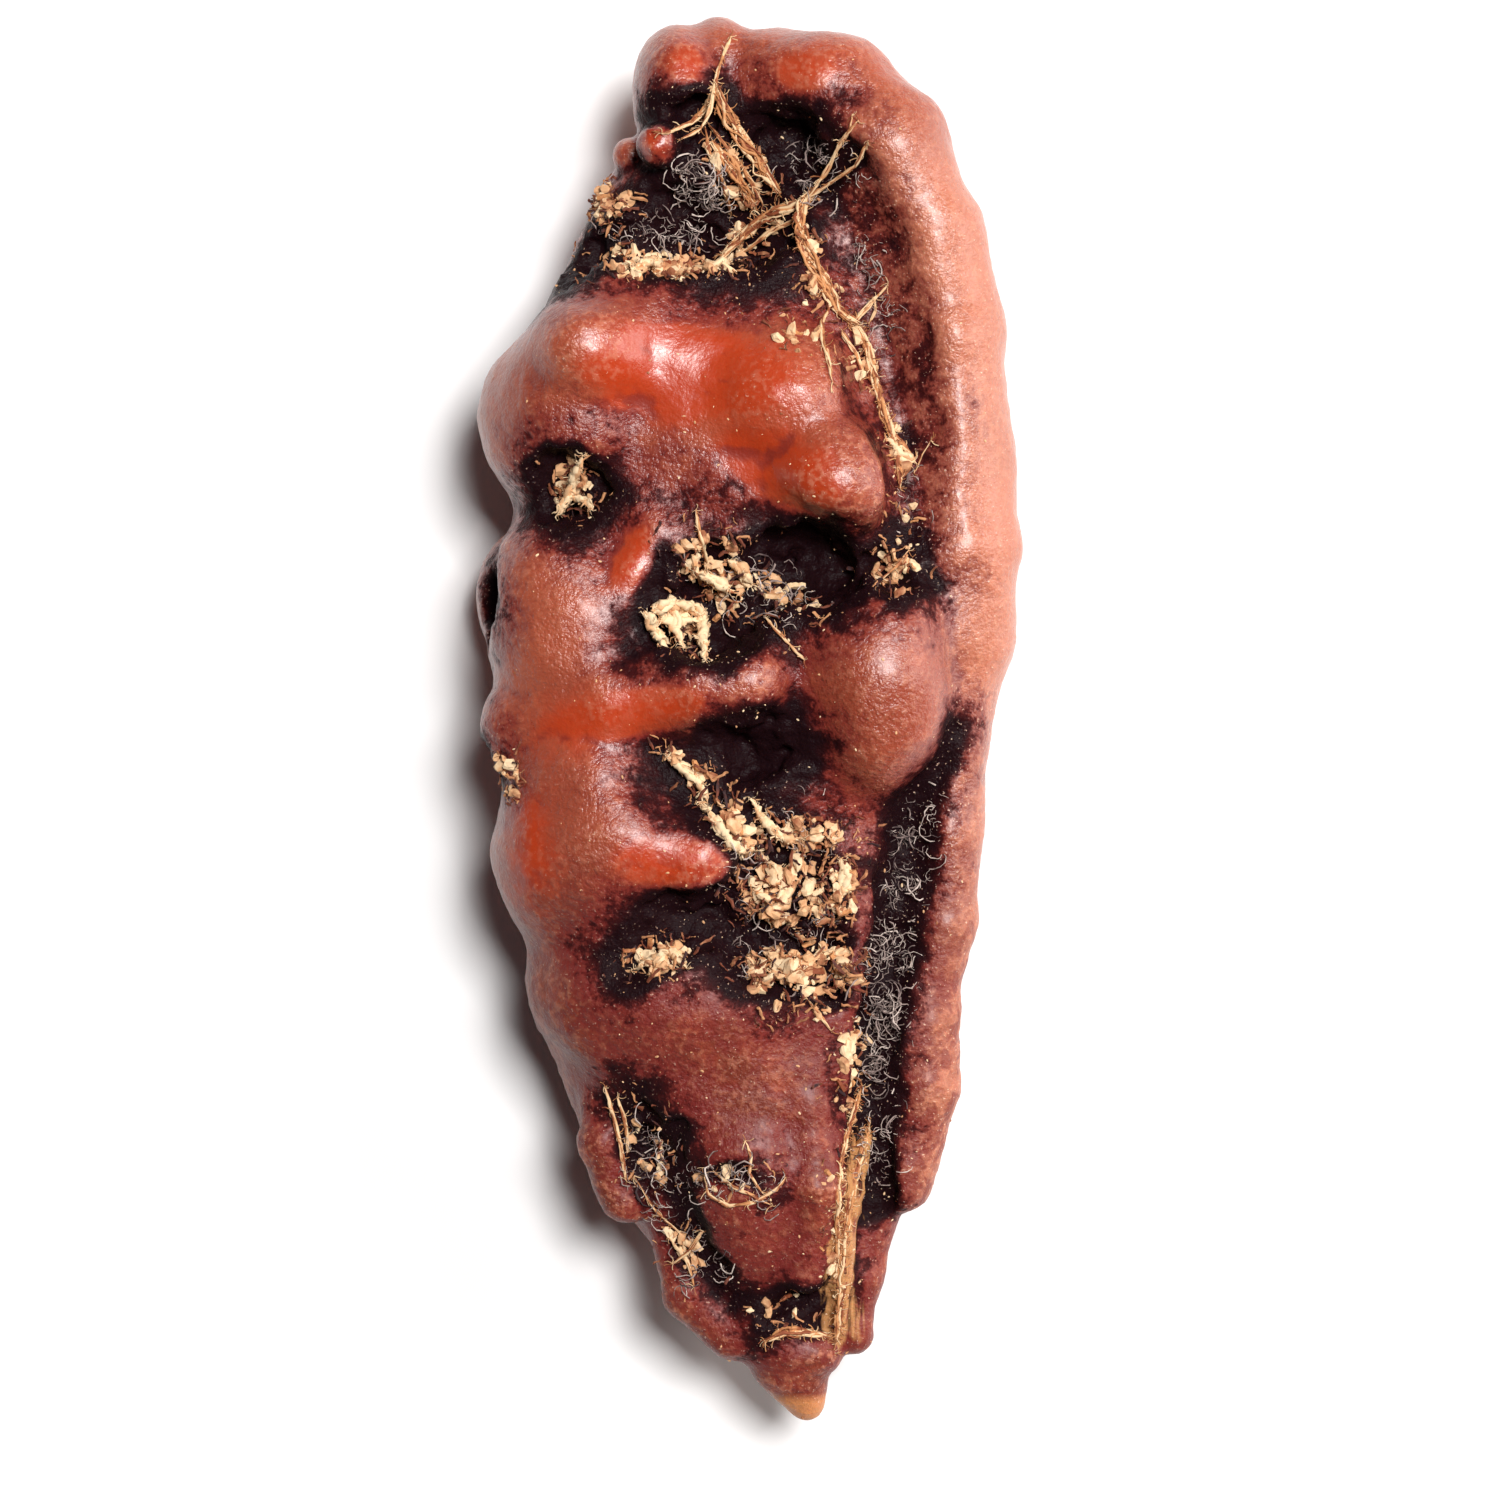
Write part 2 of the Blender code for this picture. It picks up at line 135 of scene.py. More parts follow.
def new_tree(name: str, takes: Mapping[str, str], gives: Mapping[str, str]) -> Tree:
    """Makes an empty geometry tree with named sockets.

    Args:
        name: The tree's name.
        takes: Input names and their socket types, without the NodeSocket prefix.
        gives: Output names and their socket types.

    Returns:
        The tree.
    """
    tree = bpy.data.node_groups.new(name, "GeometryNodeTree")
    for way, sockets in (("INPUT", takes), ("OUTPUT", gives)):
        for label, kind in sockets.items():
            tree.interface.new_socket(label, in_out=way, socket_type=f"NodeSocket{kind}")
    return tree


def run_tree(name: str, base: bpy.types.ID, tree: Tree, values: Mapping[str, Any]) -> bpy.types.Object:
    """Runs a geometry tree on a mesh or curve and keeps the result as a plain mesh.

    Args:
        name: The new object's name.
        base: Mesh or curve that the tree starts from.
        tree: Tree to run.
        values: Values for the tree's inputs, by name.

    Returns:
        The finished object, at the origin, with no modifier.
    """
    made = bpy.data.objects.new(name, base)
    bpy.context.scene.collection.objects.link(made)
    modifier = made.modifiers.new(tree.name, "NODES")
    modifier.node_group = tree
    for item in tree.interface.items_tree:
        if item.item_type == "SOCKET" and item.in_out == "INPUT" and item.name in values:
            modifier[item.identifier] = values[item.name]
    graph = bpy.context.evaluated_depsgraph_get()
    mesh = bpy.data.meshes.new_from_object(made.evaluated_get(graph))
    mesh.name = name
    made.modifiers.remove(modifier)
    finished = bpy.data.objects.new(f"{name}_made", mesh)
    bpy.context.scene.collection.objects.link(finished)
    bpy.data.objects.remove(made)
    finished.name = name
    return finished


class Join(Enum):
    """How a shape meets the pulp before it."""

    SWELL = "SMOOTH_MIN"
    HOLLOW = "SMOOTH_MAX"


@dataclass(frozen=True)
class Lobe:
    """An egg-shaped swelling or hollow, turned about +Z.

    Attributes:
        centre: Its middle.
        radii: Half its size each way.
        melt: How softly it joins.
        turn: Degrees about +Z.
        clean: How far short of a hollow's own size its stain and painted shade stop.
    """

    centre: Point
    radii: Point
    melt: float = 1.5
    turn: float = 0.0
    clean: float = 0.0


@dataclass(frozen=True)
class Roll:
    """A rounded ridge or groove.

    Attributes:
        path: Points on its middle line, each with a radius.
        melt: How softly it joins.
        clean: How far short of a hollow's own size its stain and painted shade stop.
    """

    path: tuple[Station, ...]
    melt: float = 1.0
    clean: float = 0.0


Shape = Union[Lobe, Roll]

# The long body that everything else swells from or sinks into.
CORE = {
    "crown_core": Lobe((1.2, 24.3, -1.2), (7.8, 8.4, 5.6), 3.0),
    "upper_core": Lobe((-0.3, 8.0, -0.8), (11.6, 22.0, 7.4), 3.0),
    "lower_core": Lobe((0.3, -12.0, -1.0), (10.2, 17.0, 6.6), 3.0),
    "tip_core": Lobe((1.8, -25.2, -0.8), (4.8, 8.2, 3.7), 2.0),
}

# Big lobes down the left side.
LEFT_FLANK = {
    "shoulder": Lobe((-5.8, 19.4, 1.2), (4.3, 3.6, 5.0), 1.5),
    "first_bulge": Lobe((-8.6, 14.3, 0.8), (4.8, 5.0, 6.0), 1.6),
    "second_bulge": Lobe((-8.4, 4.4, 0.6), (4.9, 6.6, 6.0), 1.6),
    "third_bulge": Lobe((-6.9, -7.0, 1.0), (5.8, 6.0, 6.3), 1.4),
    "waist": Lobe((-4.0, -13.8, 0.4), (7.0, 5.0, 5.9), 2.6),
    "cavity_rim": Lobe((-11.2, 5.6, -3.0), (2.6, 3.6, 2.6), 1.2),
}

# Lobes under the rolled edge.
RIGHT_FLANK = {
    "right_first": Lobe((8.5, 18.0, -2.4), (3.5, 5.0, 4.4), 1.0),
    "right_second": Lobe((9.2, 7.8, -2.8), (3.4, 4.7, 4.4), 1.0),
    "right_third": Lobe((8.3, -1.8, -2.6), (3.1, 4.4, 4.2), 1.0),
    "right_fourth": Lobe((7.9, -10.6, -2.2), (3.0, 4.0, 3.6), 1.0),
    "right_fifth": Lobe((6.8, -18.8, -1.8), (2.7, 3.8, 3.0), 1.0),
}

# Bulges on top: arches, knobs and the beads at both ends.
FRONT_SWELLINGS = {
    "first_arch": Lobe((-3.0, 16.0, 1.8), (7.4, 5.0, 4.4), 1.8, -8.0),
    "arch_left": Lobe((-7.7, 17.5, 3.9), (3.0, 3.0, 4.0), 2.0),
    "first_slope": Lobe((1.8, 15.2, 3.7), (3.8, 3.8, 4.4), 2.0),
    "knob": Lobe((4.2, 11.2, 5.3), (3.1, 3.1, 3.7), 1.8),
    "right_bump": Lobe((6.3, 1.6, 3.4), (4.0, 6.0, 4.7), 2.4),
    "ridge_fill": Lobe((-7.4, -3.2, 1.8), (4.6, 3.4, 4.9), 2.0),
    "crown_left": Lobe((-3.0, 30.3, 1.2), (2.7, 3.9, 3.3), 1.1, 12.0),
    "crown_peak": Lobe((-1.3, 32.4, 0.9), (1.9, 2.3, 2.4), 1.2),
    "tail_block": Lobe((0.4, -22.5, 0.6), (4.2, 6.8, 4.6), 1.4, -4.0),
    "tip_bead": Lobe((3.5, -32.0, 0.9), (1.4, 1.4, 1.5), 0.8),
    "side_bead": Lobe((5.3, -31.2, 0.6), (1.0, 1.1, 1.1), 0.7),
    "edge_knob": Lobe((-5.8, 27.6, 1.0), (0.8, 0.8, 1.1), 0.6),
}

# Ridges on top: the bridges between pits, the rolled edge, the ears of the tail and the tip.
FRONT_ROLLS = {
    "slanting_ridge": Roll(
        ((-11.0, -0.9, 2.4, 2.4), (-6.5, 0.1, 4.7, 2.2), (-2.5, 1.0, 5.7, 1.9), (0.2, 1.2, 6.1, 1.6)),
        2.0,
    ),
    "fork_ridge": Roll(((-4.4, 8.6, 5.2, 1.0), (-5.6, 6.6, 5.2, 1.1), (-6.8, 4.4, 4.9, 1.2)), 1.2),
    "third_finger": Roll(((-7.0, -6.4, 4.0, 3.0), (-2.4, -7.4, 5.0, 2.3)), 1.2),
    "rolled_edge": Roll(
        (
            (1.3, 31.4, 1.2, 2.7), (4.2, 30.4, 2.2, 3.0), (6.6, 27.6, 2.8, 3.3), (8.6, 23.5, 2.8, 3.1),
            (9.7, 18.5, 2.7, 3.0), (10.2, 13.0, 2.5, 2.9), (10.5, 8.0, 2.3, 3.0), (10.3, 3.4, 2.0, 2.9),
            (9.9, -1.6, 1.8, 2.1), (9.9, -6.0, 1.8, 1.9), (9.7, -10.5, 1.7, 1.7), (9.0, -14.8, 1.5, 1.6),
            (8.9, -19.0, 1.4, 1.7), (7.7, -23.6, 1.2, 1.5),
        ),
        1.4,
    ),
    "left_ear": Roll(((-7.2, -19.2, 1.2, 0.9), (-7.1, -21.6, 1.8, 1.2), (-6.1, -24.4, 1.4, 1.2)), 0.9),
    "lower_ear": Roll(((-3.8, -26.0, 0.6, 1.0), (-3.0, -29.2, 0.8, 1.3), (-0.8, -31.4, 0.6, 1.3)), 1.0),
    "tail_ridge": Roll(((3.0, -19.6, 3.6, 1.4), (3.4, -23.4, 3.6, 1.4), (2.8, -27.8, 2.4, 1.3)), 1.0),
    "tail_side": Roll(((6.3, -24.4, 0.3, 1.6), (5.5, -28.2, 0.5, 1.4), (5.2, -31.0, 0.6, 0.9)), 1.0),
    "tip": Roll(
        ((1.3, -30.2, 0.2, 2.3), (2.2, -32.2, 0.1, 2.1), (2.7, -33.8, 0.0, 1.4), (2.9, -34.8, -0.1, 0.8)),
        1.2,
    ),
}

# Lobes underneath.
BACK_SWELLINGS = {
    "back_first": Lobe((-4.8, 12.6, -3.6), (6.4, 5.8, 4.8), 1.4, 10.0),
    "back_second": Lobe((4.8, 4.0, -3.8), (6.2, 6.6, 4.6), 1.4, -12.0),
    "back_third": Lobe((-3.0, -7.2, -3.8), (6.2, 5.6, 4.8), 1.4),
    "back_tail": Lobe((2.8, -17.0, -3.0), (4.8, 5.2, 4.0), 1.4),
    "back_crown": Lobe((3.6, 22.6, -2.6), (5.4, 5.2, 4.4), 1.4),
}

# Hollows where the pulp sank or tore open.
PITS = {
    "crown_hollow": Lobe((-2.2, 23.7, 5.0), (5.6, 2.6, 3.8), 1.0, -4.0),
    "crown_hollow_left": Lobe((-7.4, 22.9, 4.2), (2.6, 1.3, 3.0), 0.8, 28.0),
    "under_hood": Lobe((1.9, 27.4, 4.6), (2.9, 1.8, 3.2), 1.4, -24.0),
    "crown_shade": Lobe((-2.8, 28.6, 4.8), (1.6, 2.0, 1.8), 0.8, 20.0),
    "left_pit": Lobe((-8.8, 10.7, 5.4), (1.4, 1.7, 2.7), 0.9),
    "middle_pit": Lobe((-1.4, 5.0, 6.8), (3.2, 2.6, 3.0), 1.0, 20.0),
    "middle_pit_right": Lobe((2.5, 6.8, 6.0), (2.9, 1.9, 3.3), 0.8),
    "middle_pit_left": Lobe((-3.9, 3.6, 5.8), (1.3, 1.2, 2.2), 0.7),
    "small_pit": Lobe((7.1, 6.6, 5.9), (1.3, 1.3, 1.4), 0.7),
    "overhung_pit": Lobe((0.5, -2.2, 6.8), (2.3, 1.5, 2.8), 0.8, -18.0),
    "overhung_pit_right": Lobe((3.8, -5.4, 7.0), (2.4, 0.8, 2.0), 0.8, -14.0, 0.9),
    "crumb_pit": Lobe((1.9, -8.2, 6.6), (2.7, 1.9, 2.4), 0.9, 16.0, 0.2),
    "crumb_pit_low": Lobe((0.8, -11.4, 6.4), (2.6, 2.2, 2.7), 0.9, -20.0),
    "crumb_pit_right": Lobe((3.7, -12.0, 6.0), (1.6, 2.6, 2.1), 0.9, 0.0, 0.3),
    "finger_pit": Lobe((-2.3, -10.2, 5.8), (1.9, 1.2, 1.9), 0.7, 14.0),
    "ear_pit": Lobe((-4.9, -21.4, 4.4), (1.3, 2.4, 2.6), 0.8, 14.0, 0.3),
    "tail_pit": Lobe((-0.6, -23.2, 5.8), (1.7, 0.7, 1.3), 0.7, 0.0, 0.8),
    "tip_pit": Lobe((2.2, -29.7, 3.6), (2.2, 0.8, 2.0), 0.6, 12.0),
    "side_cavity": Lobe((-13.4, 5.8, 1.4), (2.2, 2.9, 2.8), 0.7, 0.0, 0.8),
    "side_notch": Lobe((-13.0, -2.7, 1.4), (1.3, 0.9, 1.6), 0.6),
    "back_pit": Lobe((3.4, 12.8, -8.2), (2.4, 1.8, 2.6), 0.8, 30.0),
    "back_pit_low": Lobe((1.6, -11.6, -7.6), (1.9, 2.4, 2.4), 0.8, -20.0),
}

# Long hollows: under the hood, along the rolled edge, between the knobs and down the seams.
GROOVES = {
    "hood_groove": Roll(
        (
            (4.0, 25.4, 6.0, 2.4), (5.1, 21.8, 6.4, 2.5), (6.8, 17.4, 6.4, 2.1), (7.9, 13.4, 6.4, 1.8),
            (8.1, 9.4, 6.3, 1.3),
        ),
        2.0, 1.5,
    ),
    "edge_groove": Roll(
        (
            (10.2, -1.4, 4.2, 0.3), (9.0, -3.8, 4.1, 0.6), (8.1, -6.2, 3.9, 1.0), (7.2, -11.4, 3.7, 1.2),
            (6.5, -15.6, 3.4, 1.15), (6.1, -20.0, 3.0, 1.1), (6.3, -24.4, 2.3, 1.0),
        ),
        0.8, 0.45,
    ),
    "knob_valley": Roll(
        ((-8.0, 11.4, 7.0, 1.3), (-3.4, 10.2, 8.0, 1.5), (1.2, 9.0, 8.2, 1.5), (4.6, 7.6, 7.8, 1.3)),
        1.4, 1.3,
    ),
    "crumb_trough": Roll(((-3.4, -2.9, 7.4, 1.0), (-0.9, -4.8, 7.0, 1.3), (1.6, -6.6, 6.6, 1.5)), 0.8),
    "crumb_tail": Roll(((-0.8, -9.8, 6.2, 1.5), (-3.4, -10.5, 6.0, 1.4), (-5.8, -12.6, 6.2, 0.9)), 0.8),
    "ear_trough": Roll(
        ((-4.6, -22.8, 4.2, 1.0), (-3.2, -26.0, 3.4, 1.0), (-1.8, -28.0, 3.0, 0.8)),
        0.7, 0.5,
    ),
    "left_seam": Roll(
        ((-7.6, 24.4, -2.4, 0.9), (-11.4, 17.2, -3.6, 1.0), (-12.6, 10.2, -4.2, 0.9)),
        0.9, 1.6,
    ),
    "left_seam_low": Roll(
        ((-12.2, -5.6, -3.6, 0.9), (-10.4, -13.6, -3.2, 0.9), (-7.2, -20.6, -2.4, 0.7)),
        0.9, 1.6,
    ),
    "right_seam": Roll(
        (
            (10.2, 22.0, -2.2, 0.9), (12.2, 12.6, -2.6, 1.0), (12.6, 4.0, -2.6, 1.0),
            (11.6, -6.2, -2.2, 0.9), (10.0, -16.0, -1.6, 0.8),
        ),
        0.9, 1.6,
    ),
}

# Creases across the underside, one between each two lobes.
BACK_FURROWS = {
    "furrow_high": Roll(
        (
            (-12.6, 10.4, -2.6, 0.7), (-10.4, 9.6, -5.6, 0.9), (-4.0, 8.4, -8.0, 1.2),
            (3.4, 10.6, -8.2, 1.2), (10.2, 12.8, -5.6, 0.9), (12.4, 13.2, -2.6, 0.7),
        ),
        1.0, 1.4,
    ),
    "furrow_middle": Roll(
        (
            (-12.6, -2.4, -1.6, 0.7), (-10.8, -1.6, -5.0, 0.9), (-4.4, -0.8, -7.9, 1.2),
            (3.8, -3.0, -8.1, 1.2), (9.6, -6.0, -5.0, 0.9), (11.4, -6.4, -2.2, 0.7),
        ),
        1.0, 1.4,
    ),
    "furrow_low": Roll(
        (
            (-11.0, -12.6, -1.0, 0.7), (-8.6, -12.8, -4.8, 0.9), (-2.6, -13.6, -7.0, 1.1),
            (4.0, -12.6, -7.2, 1.1), (8.8, -14.8, -4.2, 0.9), (10.6, -15.0, -1.6, 0.6),
        ),
        1.0, 1.4,
    ),
}

# Added after the hollows, so that no hollow eats them.
LATE_SHAPES = {
    "nub": Lobe((-4.3, 27.7, 4.0), (1.0, 1.05, 1.2), 0.3),
    "woody_vein": Roll(
        ((6.0, -21.2, 2.8, 0.3), (5.1, -23.6, 3.0, 0.6), (4.8, -26.6, 2.8, 0.55), (4.6, -31.0, 1.8, 0.4)),
        0.5,
    ),
}

# Where the skin is thin and the flesh below glows orange-red through it.
FLESH = {
    "arch_flesh": Lobe((-2.6, 16.2, 7.0), (5.2, 2.4, 4.0), 1.0, -6.0),
    "knob_flesh": Lobe((1.6, 11.6, 7.0), (3.4, 1.6, 4.0), 1.0, -30.0),
    "ridge_flesh": Lobe((-5.8, -0.3, 6.0), (4.4, 1.1, 3.0), 1.0, 10.0),
    "fork_flesh": Lobe((-5.6, 7.2, 6.0), (0.8, 1.6, 3.0), 1.0, -20.0),
    "hood_flesh": Lobe((2.8, 31.2, 5.0), (1.3, 0.9, 3.0), 1.0),
    "crown_flesh": Lobe((-3.0, 31.6, 5.0), (0.8, 0.8, 3.0), 1.0),
    "nub_flesh": Lobe((-4.3, 27.7, 4.8), (0.9, 0.9, 1.2), 1.0),
    "finger_flesh": Lobe((-3.6, -7.6, 7.0), (2.6, 1.2, 3.0), 1.0),
    "left_flesh": Lobe((-10.4, -6.8, 4.0), (0.8, 2.4, 3.0), 1.0),
}


class Layers:
    """Colours laid over one another in a material."""

    def __init__(self, tree: Tree, ground: str) -> None:
        """Starts from one colour all over.

        Args:
            tree: The material's tree.
            ground: Hex colour of the ground.
        """
        self.tree = tree
        self.top: Term = linear(ground)

    def lay(self, colour: Union[str, Socket], share: Term) -> None:
        """Lays a colour over what is there.

        Args:
            colour: Hex colour, or a socket.
            share: How much of it shows, from 0 to 1.
        """
        over = linear(colour) if isinstance(colour, str) else colour
        # A Mix node's colours are its inputs 6 and 7 and its output 2.
        both = {6: self.top, 7: over}
        self.top = add_node(self.tree, "ShaderNodeMix", share, named=both, out=2, data_type="RGBA")


def smooth_share(tree: Tree, value: Term, start: float, end: float, most: float = 1.0) -> Socket:
    """A share that rises smoothly from 0 at start to most at end."""
    terms = (value, start, end, 0.0, most)
    return add_node(tree, RANGE, *terms, interpolation_type="SMOOTHSTEP")


def about_zero(tree: Tree, share: Socket, reach: float) -> Socket:
    """A share from 0 to 1 as a height from -reach to reach."""
    return add_node(tree, MATHS, share, 2.0 * reach, -reach, operation="MULTIPLY_ADD")


@dataclass(frozen=True)
class PulpFinish:
    """Dried fruit pulp, skinned over as it shrank.

    The skin is thin and waxy, so light goes in and comes back orange-red where the flesh is thick,
    and a soft pale highlight sits on every bulge, helped by pale bloom and tiny glints painted as
    highlight. Sugar and tannin have run into the hollows and dried there almost black, and painted
    shade darkens the hollows and creases further.

    Attributes:
        skin: Skin on the bulges.
        dull: Skin where it has dried pink-brown.
        tail: Skin of the lower half.
        flesh: Flesh that shows through thin skin.
        bloom_and_sheen: Pale waxy bloom, also laid as painted highlight on the rolled edge and bulges.
        wine_and_shade: Wine-red stain in clouds, and painted shade in creases and around the hollows.
        stain_and_shade: Stain in the hollows, with painted shade.
        pitch_and_shade: Stain and painted shade where they lie thickest.
        tip: The woody tip.
        vein: The woody vein down the tail.
        painted_glint: Painted highlight in tiny specks, as of sugar grains that catch the light.
        grain: Size of a grain of bloom, in millimetres.
        roughness: Roughness of clean skin.
    """

    skin: str = "#b0553a"
    dull: str = "#99432e"
    tail: str = "#742f21"
    flesh: str = "#c03a0c"
    bloom_and_sheen: str = "#d68a6c"
    wine_and_shade: str = "#7a2724"
    stain_and_shade: str = "#3f1516"
    pitch_and_shade: str = "#190c10"
    tip: str = "#d48a55"
    vein: str = "#cf935f"
    painted_glint: str = "#f4cdb4"
    grain: float = 0.34
    roughness: float = 0.32

    def material(self) -> bpy.types.Material:
        """Builds the material.

        The attributes hollow, flesh, edge and woody are gaps in millimetres to those shapes, and
        ridge and bulge say how far the skin stands out of its surroundings.

        Returns:
            The material.
        """
        material = bpy.data.materials.new("dried_waxy_pulp")
        material.use_nodes = True
        tree = material.node_tree
        source = add_node(tree, "ShaderNodeTexCoord", out="Object")
        place = add_node(tree, "ShaderNodeMapping", source, named={"Scale": (1.0 / MM,) * 3})
        up = add_node(tree, "ShaderNodeSeparateXYZ", place, out="Y")
        # Noise scales are per millimetre: clouds of 6 mm, mottling of 1.6 and 0.9 mm, and grains.
        broad = add_node(tree, NOISE, place, named={"Scale": 0.17, "Detail": 3.0})
        middle = add_node(tree, NOISE, place, named={"Scale": 0.62, "Detail": 5.0, "Roughness": 0.62})
        fine = add_node(tree, NOISE, place, named={"Scale": 1.0 / self.grain, "Detail": 3.0})
        dust = add_node(tree, NOISE, place, named={"Scale": 2.3 / self.grain, "Detail": 2.0})
        clouds = add_node(tree, NOISE, place, named={"Scale": 1.1, "Detail": 4.0, "Distortion": 0.6})
        names = ("hollow", "flesh", "edge", "ridge", "bulge", "woody")
        hollow, flesh, edge, ridge, bulge, woody = (
            add_node(tree, "ShaderNodeAttribute", attribute_name=name, out="Fac") for name in names
        )

        # Skin: pink-brown in clouds, dark towards the tip, orange where it is thin.
        colour = Layers(tree, self.skin)
        colour.lay(self.dull, smooth_share(tree, broad, 0.40, 0.62, 0.8))
        low = smooth_share(tree, up, -3.0, -13.0, 0.9)
        aged = add_node(tree, MATHS, low, smooth_share(tree, middle, 0.3, 0.6), operation="MULTIPLY")
        colour.lay(self.tail, aged)
        soft = add_node(tree, MATHS, middle, 2.6, flesh, operation="MULTIPLY_ADD")
        colour.lay(self.flesh, smooth_share(tree, soft, 2.6, 0.4, 0.8))

        # Pale waxy bloom and painted highlight: thick on the rolled edge, in specks on what stands proud.
        rolled = smooth_share(tree, edge, 1.5, -0.1)
        rolled = add_node(tree, MATHS, rolled, smooth_share(tree, up, 33.0, 24.0), operation="MULTIPLY")
        bloom_and_sheen_specks = smooth_share(tree, fine, 0.46, 0.66, 0.55)
        proud = smooth_share(tree, bulge, -0.05, 0.35)
        dust_and_sheen = add_node(tree, MATHS, rolled, proud, operation="MAXIMUM")
        low_dust_and_sheen = add_node(tree, MATHS, low, 0.6, operation="MULTIPLY")
        dust_and_sheen = add_node(tree, MATHS, dust_and_sheen, low_dust_and_sheen, operation="MAXIMUM")
        # Painted highlight with the bloom: pale on the rolled edge, then in specks on the proud skin and low
        # down.
        colour.lay(self.bloom_and_sheen, add_node(tree, MATHS, rolled, 0.55, operation="MULTIPLY"))
        colour.lay(self.bloom_and_sheen, add_node(tree, MATHS, bloom_and_sheen_specks, dust_and_sheen, operation="MULTIPLY"))

        # Stain and painted shade: wine-red clouds low down, painted shade in the creases, stain and painted
        # shade seeped out of the hollows with a freckled edge, and painted light where the skin stands proud.
        mottled = smooth_share(tree, clouds, 0.48, 0.6, 0.75)
        colour.lay(self.wine_and_shade, add_node(tree, MATHS, mottled, low, operation="MULTIPLY"))
        # Painted shade: wine-red in the fine creases.
        colour.lay(self.wine_and_shade, smooth_share(tree, ridge, -0.012, -0.05, 0.65))
        outer = smooth_share(tree, hollow, 0.4, 1.4)
        stain_shade_gap = add_node(tree, MATHS, middle, 4.0, -2.0, operation="MULTIPLY_ADD")
        stain_shade_gap = add_node(tree, MATHS, stain_shade_gap, outer, hollow, operation="MULTIPLY_ADD")
        firm = smooth_share(tree, flesh, 0.4, -0.5)
        stain_shade_gap = add_node(tree, MATHS, firm, 3.5, stain_shade_gap, operation="MULTIPLY_ADD")
        # Painted light: less stain where the skin stands proud.
        proud_lightening = smooth_share(tree, bulge, 0.03, 0.3)
        proud_lightening = add_node(tree, MATHS, proud_lightening, outer, operation="MULTIPLY")
        stain_shade_gap = add_node(tree, MATHS, proud_lightening, 1.3, stain_shade_gap, operation="MULTIPLY_ADD")
        # Painted shade: more stain where the skin sinks in.
        crease_shading = smooth_share(tree, bulge, -0.02, -0.3)
        stain_shade_gap = add_node(tree, MATHS, crease_shading, -0.7, stain_shade_gap, operation="MULTIPLY_ADD")
        freckled_stain_shade_gap = add_node(tree, MATHS, fine, 2.4, -1.2, operation="MULTIPLY_ADD")
        freckled_stain_shade_gap = add_node(tree, MATHS, freckled_stain_shade_gap, stain_shade_gap, operation="ADD")
        freckled_stain_shade_gap = add_node(tree, MATHS, clouds, 3.0, freckled_stain_shade_gap, operation="MULTIPLY_ADD")
        gritty = add_node(tree, MATHS, dust, 1.6, -2.3, operation="MULTIPLY_ADD")
        freckled_stain_shade_gap = add_node(tree, MATHS, freckled_stain_shade_gap, gritty, operation="ADD")
        # Wine-red, dark and near-black layers: stain and painted shade together.
        colour.lay(self.wine_and_shade, smooth_share(tree, freckled_stain_shade_gap, 4.2, 1.4, 0.88))
        colour.lay(self.stain_and_shade, smooth_share(tree, freckled_stain_shade_gap, 2.2, 0.9))
        colour.lay(self.pitch_and_shade, smooth_share(tree, stain_shade_gap, 1.4, 0.5, 0.9))

        # Wood: the bare tip, and the vein in streaks along the pod.
        colour.lay(self.tip, smooth_share(tree, up, -33.4, -34.1))
        drawn = add_node(tree, VECTORS, place, (2.6, 0.22, 2.6), operation="MULTIPLY")
        streaks = add_node(tree, NOISE, drawn, named={"Scale": 1.0, "Detail": 4.0})
        woody = add_node(tree, MATHS, streaks, 2.4, woody, operation="MULTIPLY_ADD")
        colour.lay(self.vein, smooth_share(tree, woody, 1.75, 1.2, 0.9))
        # Painted glints: tiny pale specks of painted highlight where the bloom and painted highlight lie.
        painted_glints = add_node(tree, MATHS, smooth_share(tree, dust, 0.66, 0.74, 0.7), dust_and_sheen, operation="MULTIPLY")
        colour.lay(self.painted_glint, painted_glints)

        # Gloss: clean skin is waxy; skin under the stain and painted shade, and the lower half, are matt and
        # grainy.
        rough = add_node(tree, MATHS, fine, 0.25, self.roughness - 0.12, operation="MULTIPLY_ADD")
        matt = add_node(tree, MATHS, smooth_share(tree, stain_shade_gap, 1.8, 0.8, 0.3), low, operation="MAXIMUM")
        rough = add_node(tree, MATHS, matt, 0.16, rough, operation="MULTIPLY_ADD")
        thin = smooth_share(tree, soft, 2.6, 0.4)
        depth = add_node(tree, MATHS, thin, -0.09 * MM, 0.13 * MM, operation="MULTIPLY_ADD")
        height = add_node(tree, MATHS, dust, 0.6, fine, operation="MULTIPLY_ADD")
        relief = {"Height": height, "Strength": 0.8, "Distance": depth}
        bump = add_node(tree, "ShaderNodeBump", named=relief)
        clean = smooth_share(tree, freckled_stain_shade_gap, 1.0, 2.6)
        waxy = add_node(tree, RANGE, up, -14.0, -2.0, 0.3, 0.75)
        clean = add_node(tree, MATHS, clean, waxy, operation="MULTIPLY")
        shader = tree.nodes["Principled BSDF"]
        for name, value in {
            "Base Color": colour.top,
            "Roughness": rough,
            "Normal": bump,
            "Specular IOR Level": add_node(tree, MATHS, clean, 0.75, 0.06, operation="MULTIPLY_ADD"),
            "Coat Weight": add_node(tree, MATHS, clean, 0.55, operation="MULTIPLY"),
        }.items():
            tree.links.new(value, shader.inputs[name])
        for name, value in {
            "IOR": 1.5,
            "Subsurface Weight": 0.22,
            "Subsurface Radius": (1.0, 0.32, 0.14),
            "Subsurface Scale": 1.4 * MM,
            "Coat Roughness": 0.27,
            "Coat IOR": 1.45,
        }.items():
            shader.inputs[name].default_value = value
        return material


